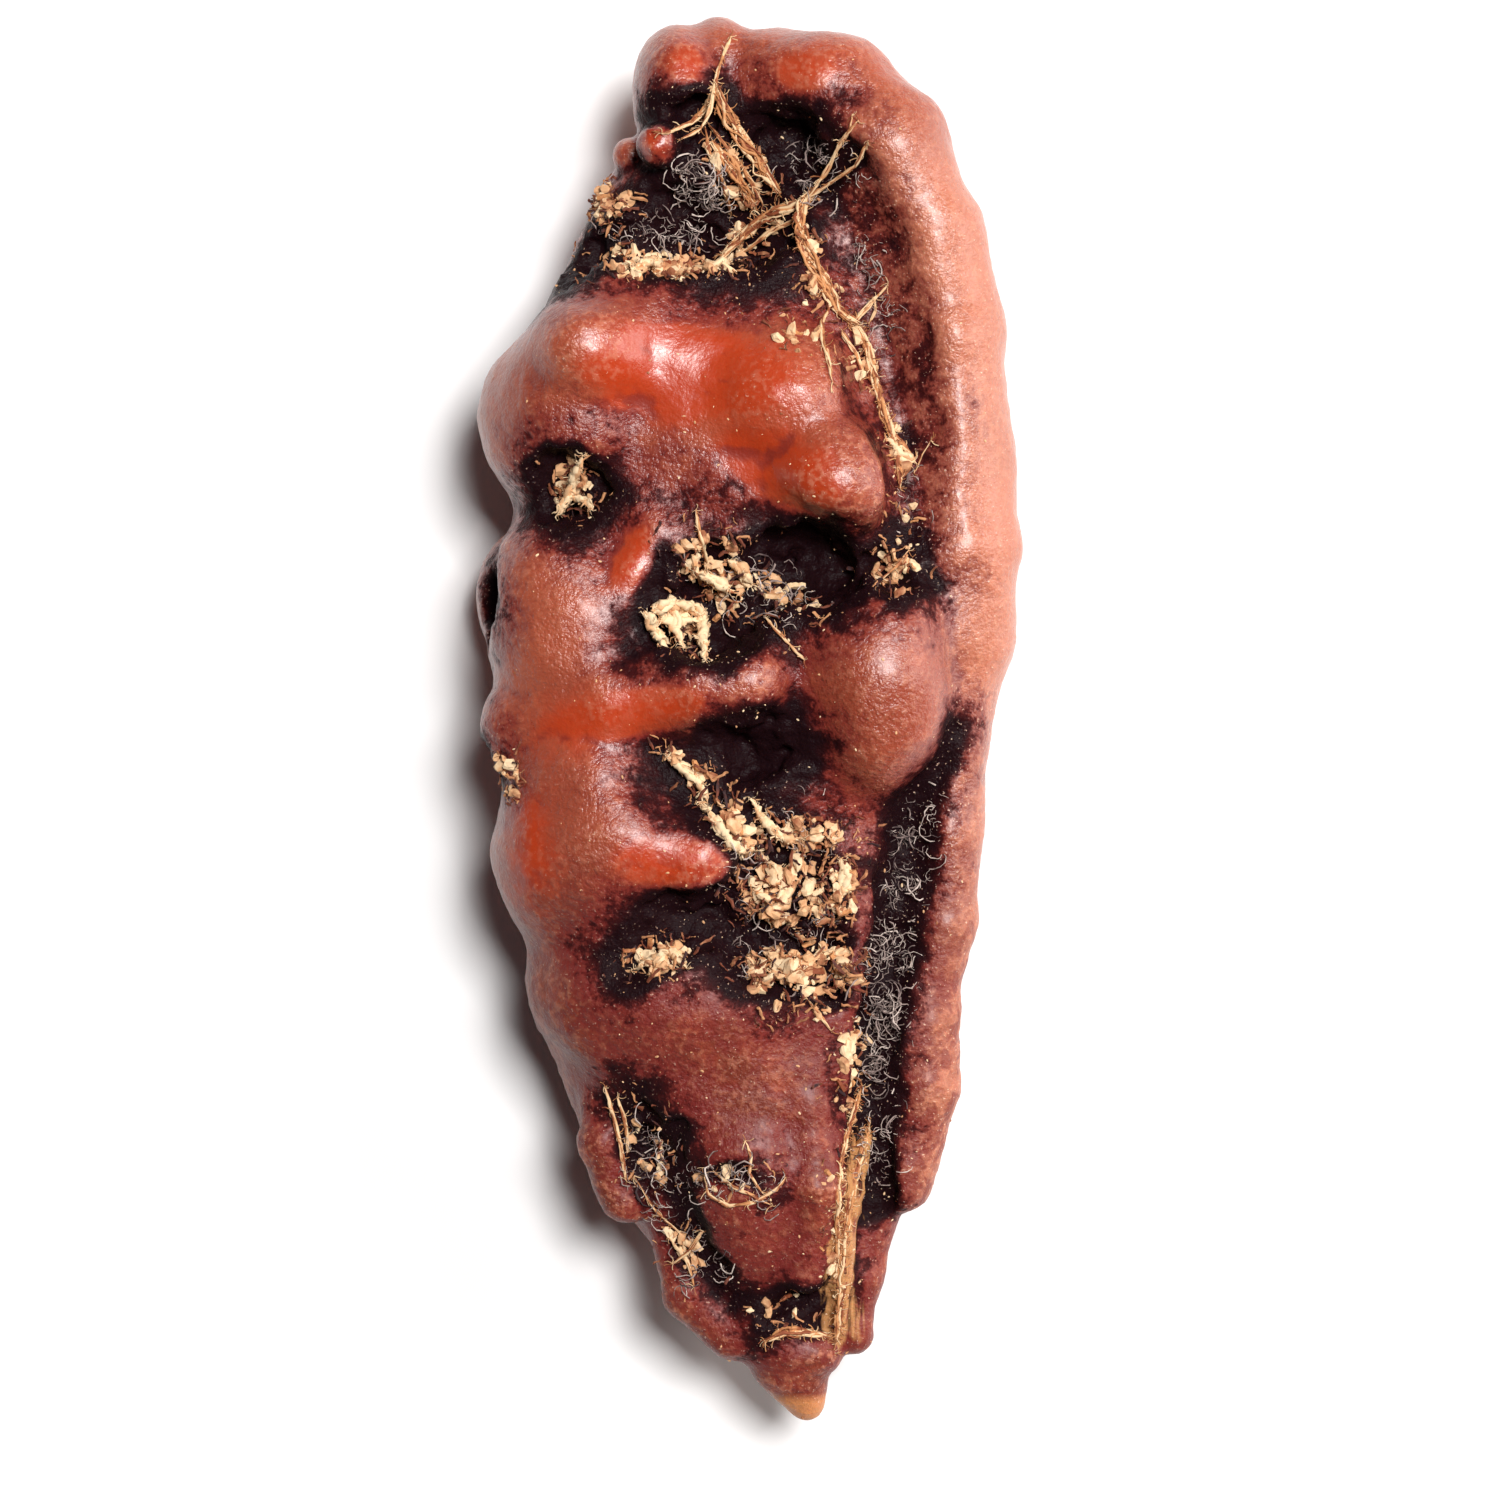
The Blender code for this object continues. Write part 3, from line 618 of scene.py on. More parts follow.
@dataclass(frozen=True)
class PlantFinish:
    """Dry woody matter: vein strands, torn pith or hair.

    It is matt and fibrous, so it shows no highlight, only pale faces against brown ones. Each
    piece has its own tint between the pale and the brown.

    Attributes:
        name: The material's name.
        pale: Colour of the palest piece.
        middle: Colour of most pieces.
        brown: Colour of the darkest piece.
        grain: Size of the mottling, in millimetres.
        roughness: Roughness all over.
    """

    name: str
    pale: str
    middle: str
    brown: str
    grain: float = 0.3
    roughness: float = 0.75

    def material(self) -> bpy.types.Material:
        """Builds the material.

        Returns:
            The material.
        """
        material = bpy.data.materials.new(self.name)
        material.use_nodes = True
        tree = material.node_tree
        source = add_node(tree, "ShaderNodeTexCoord", out="Object")
        place = add_node(tree, "ShaderNodeMapping", source, named={"Scale": (1.0 / MM,) * 3})
        noise = add_node(tree, NOISE, place, named={"Scale": 1.0 / self.grain, "Detail": 3.0})
        tint = add_node(tree, "ShaderNodeAttribute", attribute_name="tint", out="Fac")
        mottle = add_node(tree, MATHS, noise, 0.9, -0.45, operation="MULTIPLY_ADD")
        shade = add_node(tree, MATHS, tint, mottle, operation="ADD")
        colour = Layers(tree, self.middle)
        colour.lay(self.pale, smooth_share(tree, shade, 0.45, 0.85))
        colour.lay(self.brown, smooth_share(tree, shade, 0.35, 0.0))
        relief = {"Height": noise, "Strength": 0.5, "Distance": 0.05 * MM}
        bump = add_node(tree, "ShaderNodeBump", named=relief)
        shader = tree.nodes["Principled BSDF"]
        tree.links.new(colour.top, shader.inputs["Base Color"])
        tree.links.new(bump, shader.inputs["Normal"])
        shader.inputs["Roughness"].default_value = self.roughness
        return material


@dataclass(frozen=True)
class TableFinish:
    """Smooth white laminate, so plain that only the pod's shadow shows on it."""

    colour: str = "#fbfafa"
    roughness: float = 0.6

    def material(self) -> bpy.types.Material:
        """Builds the material.

        Returns:
            The material.
        """
        material = bpy.data.materials.new("white_laminate")
        material.use_nodes = True
        shader = material.node_tree.nodes["Principled BSDF"]
        shader.inputs["Base Color"].default_value = linear(self.colour)
        shader.inputs["Roughness"].default_value = self.roughness
        return material


PULP_FINISH = PulpFinish()
STRAW_FINISH = PlantFinish("split_vein_wood", "#f3cfa2", "#d2915c", "#8c4526", 0.5)
PITH_FINISH = PlantFinish("torn_dry_pith", "#f8d8ae", "#e0ab7c", "#9a5a38", 0.5)
SHRED_FINISH = PlantFinish("torn_fibre_shreds", "#c98d60", "#7c3e27", "#34171a", 0.4)
HAIR_FINISH = PlantFinish("dry_plant_hair", "#e2cfc4", "#a58f88", "#4a3839", 0.4)


@dataclass
class PulpField:
    """Node groups that give the pulp's distance field, in millimetres.

    Attributes:
        stretch_melt: How softly a roll's bars join.
        smallest_slope: Least slope that a gap is divided by.
        warp_wavelength: Length of the slow unevenness.
        warp_height: Height of that unevenness.
        rest_plane: Height at which the pulp is flattened underneath.
        rest_melt: How softly it is flattened.
        hollow_melt: How softly the hollows' stains and painted shade join.
        flesh_melt: How softly the patches of thin skin join.
        tear_waves: Wavelength and reach of each wave that tears the pits' rims.
        groove_tear: Share of the pits' tearing that the grooves have.
    """

    stretch_melt: float = 0.6
    smallest_slope: float = 0.001
    warp_wavelength: float = 5.5
    warp_height: float = 0.55
    rest_plane: float = -7.2
    rest_melt: float = 1.6
    hollow_melt: float = 0.8
    flesh_melt: float = 1.0
    tear_waves: tuple[Spot, ...] = ((3.2, 2.6), (1.1, 1.1))
    groove_tear: float = 0.35

    def __post_init__(self) -> None:
        """Builds the two groups that every shape is made of."""
        self.lobe_tree = self._lobe_tree()
        self.stretch_tree = self._stretch_tree()

    def _lobe_tree(self) -> Tree:
        """Makes the gap from a place to a lobe's skin, negative inside.

        Returns:
            A tree that takes the place and the lobe's sizes. Its gap is true only near the skin.
        """
        takes = {"Place": "Vector", "Centre": "Vector", "Radii": "Vector", "Turn": "Float"}
        tree = new_tree("lobe_gap", takes, {"Gap": "Float"})
        given = tree.nodes.new("NodeGroupInput").outputs
        local = add_node(tree, VECTORS, given["Place"], given["Centre"], operation="SUBTRACT")
        back = add_node(tree, MATHS, given["Turn"], -1.0, operation="MULTIPLY")
        angle = {"Angle": back}
        turned = add_node(tree, "ShaderNodeVectorRotate", local, named=angle, rotation_type="Z_AXIS")
        steps = add_node(tree, VECTORS, turned, given["Radii"], operation="DIVIDE")
        inner = add_node(tree, VECTORS, steps, operation="LENGTH", out="Value")
        steeps = add_node(tree, VECTORS, steps, given["Radii"], operation="DIVIDE")
        slope = add_node(tree, VECTORS, steeps, operation="LENGTH", out="Value")
        past = add_node(tree, MATHS, inner, 1.0, operation="SUBTRACT")
        rise = add_node(tree, MATHS, inner, past, operation="MULTIPLY")
        safe = add_node(tree, MATHS, slope, self.smallest_slope, operation="MAXIMUM")
        gap = add_node(tree, MATHS, rise, safe, operation="DIVIDE")
        add_node(tree, "NodeGroupOutput", gap)
        return tree

    def _stretch_tree(self) -> Tree:
        """Makes the gap from a place to a tapered round bar between two points.

        Returns:
            A tree that takes the place and the bar's ends.
        """
        takes = {"Place": "Vector", "Start": "Vector", "End": "Vector"}
        takes |= {"Start Radius": "Float", "End Radius": "Float"}
        tree = new_tree("stretch_gap", takes, {"Gap": "Float"})
        given = tree.nodes.new("NodeGroupInput").outputs
        along = add_node(tree, VECTORS, given["End"], given["Start"], operation="SUBTRACT")
        local = add_node(tree, VECTORS, given["Place"], given["Start"], operation="SUBTRACT")
        reach = add_node(tree, VECTORS, local, along, operation="DOT_PRODUCT", out="Value")
        whole = add_node(tree, VECTORS, along, along, operation="DOT_PRODUCT", out="Value")
        share = add_node(tree, MATHS, reach, whole, operation="DIVIDE", use_clamp=True)
        nearest = add_node(tree, VECTORS, along, named={"Scale": share}, operation="SCALE")
        gap = add_node(tree, VECTORS, local, nearest, operation="DISTANCE", out="Value")
        ends = {3: given["Start Radius"], 4: given["End Radius"]}
        radius = add_node(tree, RANGE, share, named=ends)
        add_node(tree, "NodeGroupOutput", add_node(tree, MATHS, gap, radius, operation="SUBTRACT"))
        return tree

    def gap(self, tree: Tree, place: Socket, shape: Shape) -> Socket:
        """Adds a shape's gap to a tree.

        Args:
            tree: Tree that takes it.
            place: The place to measure from.
            shape: Lobe or roll.

        Returns:
            The gap in millimetres.
        """
        if isinstance(shape, Lobe):
            turn = math.radians(shape.turn)
            terms = (place, shape.centre, shape.radii, turn)
            return add_node(tree, GROUP, *terms, node_tree=self.lobe_tree)
        found: Optional[Socket] = None
        for start, end in zip(shape.path, shape.path[1:]):
            terms = (place, start[:3], end[:3], start[3], end[3])
            bar = add_node(tree, GROUP, *terms, node_tree=self.stretch_tree)
            found = bar if found is None else self.join(tree, Join.SWELL, found, bar, self.stretch_melt)
        return found

    @staticmethod
    def join(tree: Tree, way: Join, first: Socket, second: Socket, melt: float) -> Socket:
        """Melts two gaps into one, the way that is given."""
        return add_node(tree, MATHS, first, second, melt, operation=way.value)

    def nearest(self, tree: Tree, place: Socket, shapes: Iterable[Shape], melt: float) -> Socket:
        """Adds the gap to the nearest of some shapes.

        Args:
            tree: Tree that takes it.
            place: The place to measure from.
            shapes: The shapes.
            melt: How softly they join where they meet.

        Returns:
            The gap in millimetres.
        """
        found: Optional[Socket] = None
        for shape in shapes:
            gap = self.gap(tree, place, shape)
            found = gap if found is None else self.join(tree, Join.SWELL, found, gap, melt)
        return found

    def group(self) -> Tree:
        """The whole pulp as one group.

        Returns:
            A tree that takes Place and gives Skin, the gap to the pulp's skin, and Hollow, the gap to
            the nearest pit or groove.
        """
        tree = new_tree("pulp_field", {"Place": "Vector"}, {"Skin": "Float", "Hollow": "Float"})
        place = tree.nodes.new("NodeGroupInput").outputs["Place"]
        body: Optional[Socket] = None
        for table in (CORE, LEFT_FLANK, RIGHT_FLANK, FRONT_SWELLINGS, FRONT_ROLLS, BACK_SWELLINGS):
            for shape in table.values():
                gap = self.gap(tree, place, shape)
                body = gap if body is None else self.join(tree, Join.SWELL, body, gap, shape.melt)
        hollow: Optional[Socket] = None
        torn = place
        for wavelength, reach in self.tear_waves:
            rate = {"Scale": 1.0 / wavelength, "Detail": 1.0}
            waves = add_node(tree, NOISE, place, named=rate, out="Color")
            step = add_node(tree, VECTORS, waves, MIDDLE_GREY, operation="SUBTRACT")
            step = add_node(tree, VECTORS, step, (reach,) * 3, operation="MULTIPLY")
            torn = add_node(tree, VECTORS, torn, step, operation="ADD")
        # A Mix node's vectors are its inputs 4 and 5 and its output 1.
        both = {4: place, 5: torn}
        half = add_node(tree, "ShaderNodeMix", self.groove_tear, named=both, out=1, data_type="VECTOR")
        for table, where in ((PITS, torn), (GROOVES, half), (BACK_FURROWS, half)):
            for shape in table.values():
                gap = self.gap(tree, where, shape)
                outside = add_node(tree, MATHS, gap, -1.0, operation="MULTIPLY")
                body = self.join(tree, Join.HOLLOW, body, outside, shape.melt)
                gap = add_node(tree, MATHS, gap, shape.clean, operation="ADD")
                if hollow is not None:
                    gap = self.join(tree, Join.SWELL, hollow, gap, self.hollow_melt)
                hollow = gap
        for shape in LATE_SHAPES.values():
            body = self.join(tree, Join.SWELL, body, self.gap(tree, place, shape), shape.melt)
        rate = {"Scale": 1.0 / self.warp_wavelength, "Detail": 1.0}
        uneven = about_zero(tree, add_node(tree, NOISE, place, named=rate), self.warp_height)
        body = add_node(tree, MATHS, body, uneven, operation="ADD")
        up = add_node(tree, "ShaderNodeSeparateXYZ", place, out="Z")
        under = add_node(tree, MATHS, self.rest_plane, up, operation="SUBTRACT")
        body = self.join(tree, Join.HOLLOW, body, under, self.rest_melt)
        add_node(tree, "NodeGroupOutput", body, hollow)
        return tree


@dataclass
class Placement:
    """Where the pulp's own millimetres lie in the frame.

    Attributes:
        scale: Metres in one of the pulp's millimetres.
        shift: What is added after scaling, in metres.
    """

    scale: float
    shift: Vector

    def point(self, x: float, y: float, z: float) -> Vector:
        """A place of the tables as a place of the frame."""
        return Vector((x, y, z)) * self.scale + self.shift


@dataclass
class PodPulp:
    """The pod's one body of pulp.

    Attributes:
        reach: Half the sampled box each way.
        step: Distance between samples.
        corrections: Times that the finer mesh is moved onto the field.
        sunk: How far the lowest pulp is flattened by what it lies on.
        swell_wavelength: Length of the slow dents all over.
        swell_height: Height of those dents.
        wrinkle_stretch: How closely the cross wrinkles lie each way.
        wrinkle_span: From where to where, along the pod, they grow to their full height.
        wrinkle_height: Their height.
        torn_wavelength: Size of the tatters in the hollows.
        torn_height: Height of those tatters.
        grain_wavelength: Size of the grains on the skin.
        grain_height: Height of those grains.
        levels: Rounds of blur that each measure of standing proud is taken against.
    """

    reach: Point = (16.0, 38.0, 11.0)
    step: float = 0.5
    corrections: int = 2
    sunk: float = 0.15
    swell_wavelength: float = 2.6
    swell_height: float = 0.13
    wrinkle_stretch: Point = (0.28, 0.85, 0.5)
    wrinkle_span: Spot = (2.0, -14.0)
    wrinkle_height: float = 0.16
    torn_wavelength: float = 0.7
    torn_height: float = 0.4
    grain_wavelength: float = 0.55
    grain_height: float = 0.045
    levels: tuple[tuple[str, int], ...] = (("ridge", 6), ("bulge", 40))

    def build(self) -> tuple[bpy.types.Object, Placement]:
        """Makes the pulp's mesh and puts it where the frame's pod is.

        Returns:
            The object, and how the tables lie in the frame.
        """
        field = PulpField()
        blank = bpy.data.meshes.new("pulp_blank")
        made = run_tree("pulp_body", blank, self._tree(field), {"Step": self.step})
        self._keep_largest(made.data)
        return made, self._place(made.data)

    def _relief(self, tree: Tree, place: Socket, hollow: Socket) -> Socket:
        """Adds the small relief: dents, cross wrinkles, tatters in the hollows and grain.

        Args:
            tree: Tree that takes it.
            place: The place on the skin.
            hollow: Gap to the nearest hollow.

        Returns:
            Its height in millimetres.
        """
        swell = add_node(tree, NOISE, place, named={"Scale": 1.0 / self.swell_wavelength, "Detail": 2.0})
        height = about_zero(tree, swell, self.swell_height)
        across = add_node(tree, VECTORS, place, self.wrinkle_stretch, operation="MULTIPLY")
        wave = add_node(tree, NOISE, across, named={"Scale": 0.9, "Detail": 3.0})
        # The upper half keeps a third of the wrinkles.
        along = add_node(tree, "ShaderNodeSeparateXYZ", place, out="Y")
        lower = add_node(tree, RANGE, along, *self.wrinkle_span, 0.35, 1.0)
        wrinkle = about_zero(tree, wave, self.wrinkle_height)
        wrinkle = add_node(tree, MATHS, wrinkle, lower, operation="MULTIPLY")
        height = add_node(tree, MATHS, height, wrinkle, operation="ADD")
        torn = add_node(tree, NOISE, place, named={"Scale": 1.0 / self.torn_wavelength, "Detail": 3.0})
        torn = about_zero(tree, torn, self.torn_height)
        torn = add_node(tree, MATHS, torn, smooth_share(tree, hollow, 1.1, 0.1), operation="MULTIPLY")
        height = add_node(tree, MATHS, height, torn, operation="ADD")
        grain = add_node(tree, NOISE, place, named={"Scale": 1.0 / self.grain_wavelength, "Detail": 1.0})
        grain = about_zero(tree, grain, self.grain_height)
        return add_node(tree, MATHS, height, grain, operation="ADD")

    def _tree(self, field: PulpField) -> Tree:
        """Turns the field into a fine mesh with its attributes.

        Args:
            field: The pulp's field.

        Returns:
            A tree that takes the distance between samples.
        """
        tree = new_tree("pulp_mesh", {"Geometry": "Geometry", "Step": "Float"}, {"Geometry": "Geometry"})
        step = tree.nodes.new("NodeGroupInput").outputs["Step"]
        place = add_node(tree, "GeometryNodeInputPosition")
        skin_tree = field.group()
        skin = add_node(tree, GROUP, place, node_tree=skin_tree)
        hollow = skin.node.outputs["Hollow"]
        inside = add_node(tree, MATHS, skin, -1.0, operation="MULTIPLY")
        box = {"Density": inside, "Background": -1.0, "Max": self.reach}
        box["Min"] = [-reach for reach in self.reach]
        for axis, reach in zip("XYZ", self.reach):
            cells = add_node(tree, MATHS, 2.0 * reach, step, operation="DIVIDE")
            box[f"Resolution {axis}"] = add_node(tree, MATHS, cells, operation="ROUND")
        volume = add_node(tree, "GeometryNodeVolumeCube", named=box)
        mesh = add_node(tree, "GeometryNodeVolumeToMesh", volume, named={"Threshold": 0.0})
        mesh = add_node(tree, "GeometryNodeSubdivisionSurface", mesh, 1)
        normal = add_node(tree, "GeometryNodeInputNormal")
        back = add_node(tree, VECTORS, normal, named={"Scale": inside}, operation="SCALE")
        for _ in range(self.corrections):
            mesh = add_node(tree, "GeometryNodeSetPosition", mesh, named={"Offset": back})
        relief = self._relief(tree, place, hollow)
        raised = add_node(tree, VECTORS, normal, named={"Scale": relief}, operation="SCALE")
        mesh = add_node(tree, "GeometryNodeSetPosition", mesh, named={"Offset": raised})
        flesh = field.nearest(tree, place, FLESH.values(), field.flesh_melt)
        edge = field.gap(tree, place, FRONT_ROLLS["rolled_edge"])
        woody = field.gap(tree, place, LATE_SHAPES["woody_vein"])
        for name, value in (("hollow", hollow), ("flesh", flesh), ("edge", edge), ("woody", woody)):
            mesh = add_node(tree, "GeometryNodeStoreNamedAttribute", mesh, None, name, value)
        for name, rounds in self.levels:
            level = add_node(tree, "GeometryNodeBlurAttribute", place, rounds, data_type="FLOAT_VECTOR")
            rise = add_node(tree, VECTORS, place, level, operation="SUBTRACT")
            proud = add_node(tree, VECTORS, rise, normal, operation="DOT_PRODUCT", out="Value")
            mesh = add_node(tree, "GeometryNodeStoreNamedAttribute", mesh, None, name, proud)
        mesh = add_node(tree, "GeometryNodeSetShadeSmooth", mesh)
        mesh = add_node(tree, "GeometryNodeRealizeInstances", mesh)
        mesh = add_node(tree, "GeometryNodeSetMaterial", mesh, None, PULP_FINISH.material())
        add_node(tree, "NodeGroupOutput", mesh)
        return tree

    @staticmethod
    def _keep_largest(mesh: bpy.types.Mesh) -> None:
        """Removes every loose crumb of a mesh but its largest island.

        Args:
            mesh: The mesh to clean.
        """
        body = bmesh.new()
        body.from_mesh(mesh)
        unseen = set(body.verts)
        largest: set[bmesh.types.BMVert] = set()
        while unseen:
            front = [unseen.pop()]
            island = set(front)
            while front:
                for edge in front.pop().link_edges:
                    for vertex in edge.verts:
                        if vertex in unseen:
                            unseen.discard(vertex)
                            island.add(vertex)
                            front.append(vertex)
            largest = max(largest, island, key=len)
        loose = [vertex for vertex in body.verts if vertex not in largest]
        bmesh.ops.delete(body, geom=loose, context="VERTS")
        body.to_mesh(mesh)
        body.free()

    def _place(self, mesh: bpy.types.Mesh) -> Placement:
        """Scales and shifts the mesh onto the frame's pod, and flattens what it lies on.

        Args:
            mesh: The pulp in its own millimetres.

        Returns:
            The placement that was used.
        """
        low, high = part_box(NODE)
        count = len(mesh.vertices)
        places = np.empty(count * 3, dtype=np.float32)
        mesh.vertices.foreach_get("co", places)
        places = places.reshape(count, 3).astype(np.float64)
        least, most = places.min(axis=0), places.max(axis=0)
        scale = (high.y - low.y) / (most[1] - least[1])
        middle = (least + most) / 2.0
        shift = Vector(
            (
                (low.x + high.x) / 2.0 - middle[0] * scale,
                (low.y + high.y) / 2.0 - middle[1] * scale,
                low.z - (least[2] + self.sunk) * scale,
            )
        )
        places = places * scale + np.array(shift)
        places[:, 2] = np.maximum(places[:, 2], low.z)
        mesh.vertices.foreach_set("co", places.astype(np.float32).ravel())
        mesh.update()
        return Placement(scale, shift)


@dataclass
class PulpSurface:
    """The finished pulp as something to lay strands on.

    Attributes:
        pulp: The finished pulp, at the origin.
        placement: How the tables lie in the frame.
        above: A height over all of the pulp, in metres.
    """

    pulp: bpy.types.Object
    placement: Placement
    above: float = 0.05

    def __post_init__(self) -> None:
        """Keeps the pulp's faces for ray tests."""
        corners = [vertex.co for vertex in self.pulp.data.vertices]
        faces = [tuple(face.vertices) for face in self.pulp.data.polygons]
        self.tree = BVHTree.FromPolygons(corners, faces)

    def height(self, x: float, y: float) -> float:
        """Height of the pulp under a place of the tables, in millimetres.

        Args:
            x: Place across.
            y: Place along.

        Returns:
            The height in the tables' z, or that of the table where there is no pulp.
        """
        start = self.placement.point(x, y, 0.0)
        start.z = self.above
        hit = self.tree.ray_cast(start, Vector((0.0, 0.0, -1.0)))[0]
        low = 0.0 if hit is None else hit.z
        return (low - self.placement.shift.z) / self.placement.scale


@dataclass(frozen=True)
class Strand:
    """One woody strand.

    Attributes:
        path: Points across and along, each with the strand's half width there.
        lift: Height of its middle over the pulp.
    """

    path: tuple[Point, ...]
    lift: float = 0.15


# Thin strands: the fork and arms at the crown, the twigs below it and single straws in the pits.
THREADS = {
    "crown_top": Strand(((-0.8, 33.2, 0.06), (-1.3, 31.9, 0.09), (-1.7, 30.4, 0.12), (-2.2, 29.2, 0.12))),
    "fork_left": Strand(((-1.9, 29.8, 0.1), (-2.7, 28.9, 0.13), (-3.8, 28.2, 0.09), (-4.2, 28.1, 0.05))),
    "fork_low": Strand(((-1.5, 30.9, 0.08), (-1.9, 29.2, 0.09), (-2.3, 28.5, 0.07), (-3.3, 27.9, 0.04))),
    "fork_right": Strand(((-2.0, 29.0, 0.08), (-1.4, 28.1, 0.1), (-0.4, 26.9, 0.09), (0.6, 25.6, 0.06))),
    "fork_middle": Strand(
        ((-2.1, 28.8, 0.06), (-1.9, 27.4, 0.08), (-1.2, 25.9, 0.07), (-0.8, 24.6, 0.05)),
    ),
    "crown_inner": Strand(((-0.9, 27.8, 0.06), (0.0, 26.3, 0.08), (0.8, 25.0, 0.06))),
    "left_arm": Strand(((5.4, 28.6, 0.05), (4.6, 27.7, 0.08), (3.9, 26.4, 0.09), (3.0, 25.1, 0.1))),
    "right_arm": Strand(((5.9, 27.6, 0.05), (5.3, 26.5, 0.08), (4.3, 25.9, 0.1), (3.0, 25.1, 0.12))),
    "arm_spur": Strand(((5.1, 28.9, 0.03), (5.0, 28.2, 0.05), (4.7, 27.7, 0.05))),
    "bridge": Strand(((3.2, 25.1, 0.14), (1.9, 24.8, 0.13), (0.4, 24.1, 0.1), (-0.6, 23.7, 0.08))),
    "bridge_low": Strand(((2.6, 24.2, 0.1), (1.2, 23.6, 0.1), (0.2, 22.9, 0.08), (-0.8, 22.3, 0.06))),
    "rim": Strand(((-2.9, 21.9, 0.1), (-1.6, 21.9, 0.12), (-0.6, 22.9, 0.12), (0.4, 23.8, 0.1))),
    "left_prong": Strand(
        ((4.1, 19.8, 0.09), (3.7, 18.9, 0.1), (3.7, 17.6, 0.11), (4.0, 16.4, 0.12), (4.1, 15.7, 0.06)),
    ),
    "twig": Strand(((5.3, 19.0, 0.09), (5.9, 19.7, 0.11), (6.9, 20.8, 0.06))),
    "twig_back": Strand(((6.3, 20.2, 0.05), (6.3, 19.5, 0.07), (6.0, 18.9, 0.06))),
    "between": Strand(((4.7, 18.4, 0.12), (5.4, 17.4, 0.14), (5.7, 16.3, 0.1))),
    "main_second": Strand(((6.6, 14.6, 0.08), (7.4, 13.2, 0.12), (8.2, 12.2, 0.14), (7.7, 11.9, 0.1))),
    "fine_hair": Strand(((9.0, 13.1, 0.02), (8.6, 12.4, 0.03), (8.2, 11.5, 0.02))),
    "left_pit_straw": Strand(((-9.2, 9.6, 0.05), (-8.7, 10.6, 0.09), (-8.2, 11.9, 0.06)), 0.7),
    "middle_straw": Strand(((-2.5, 9.6, 0.04), (-2.3, 8.4, 0.09), (-1.9, 7.0, 0.07)), 0.5),
    "middle_stick": Strand(((0.9, 4.4, 0.05), (1.8, 3.3, 0.08), (2.8, 2.3, 0.06)), 0.2),
    "middle_cross": Strand(((-2.6, 6.7, 0.06), (-1.5, 5.9, 0.1), (-0.4, 5.6, 0.06)), 0.6),
    "small_pit_stick": Strand(((6.5, 6.2, 0.05), (7.3, 6.9, 0.07), (7.9, 7.7, 0.04)), 0.3),
    "spike": Strand(((3.0, -14.3, 0.05), (3.5, -15.0, 0.11), (4.1, -15.8, 0.03)), 0.2),
    "ear_straw": Strand(
        ((-7.0, -18.7, 0.05), (-6.6, -20.2, 0.1), (-6.2, -21.9, 0.1), (-6.0, -23.4, 0.05)),
    ),
    "ear_straw_low": Strand(((-6.4, -19.2, 0.04), (-6.0, -20.4, 0.07), (-5.9, -22.0, 0.05))),
    "ear_thread": Strand(
        ((-5.6, -23.2, 0.03), (-4.6, -24.9, 0.04), (-3.4, -26.0, 0.04), (-2.9, -27.2, 0.03)),
    ),
    "trough_straw": Strand(((-3.9, -26.3, 0.05), (-2.9, -27.6, 0.1), (-2.6, -28.7, 0.05)), 0.3),
    "trough_cross": Strand(((-2.2, -25.9, 0.05), (-2.9, -27.0, 0.09), (-3.7, -27.6, 0.05)), 0.3),
    "tail_loop": Strand(
        (
            (-2.2, -22.6, 0.04), (-1.9, -23.9, 0.08), (-0.9, -24.4, 0.09), (0.4, -24.2, 0.08),
            (1.4, -23.6, 0.07), (1.9, -23.0, 0.03),
        ),
        0.1,
    ),
    "tail_cross": Strand(
        ((-1.6, -22.8, 0.04), (-0.6, -23.5, 0.07), (0.3, -23.9, 0.07), (1.2, -24.4, 0.03)),
        0.1,
    ),
    "tail_hook": Strand(
        ((-0.1, -21.2, 0.03), (0.2, -21.9, 0.08), (0.1, -22.8, 0.08), (0.7, -23.7, 0.04)),
        0.1,
    ),
}

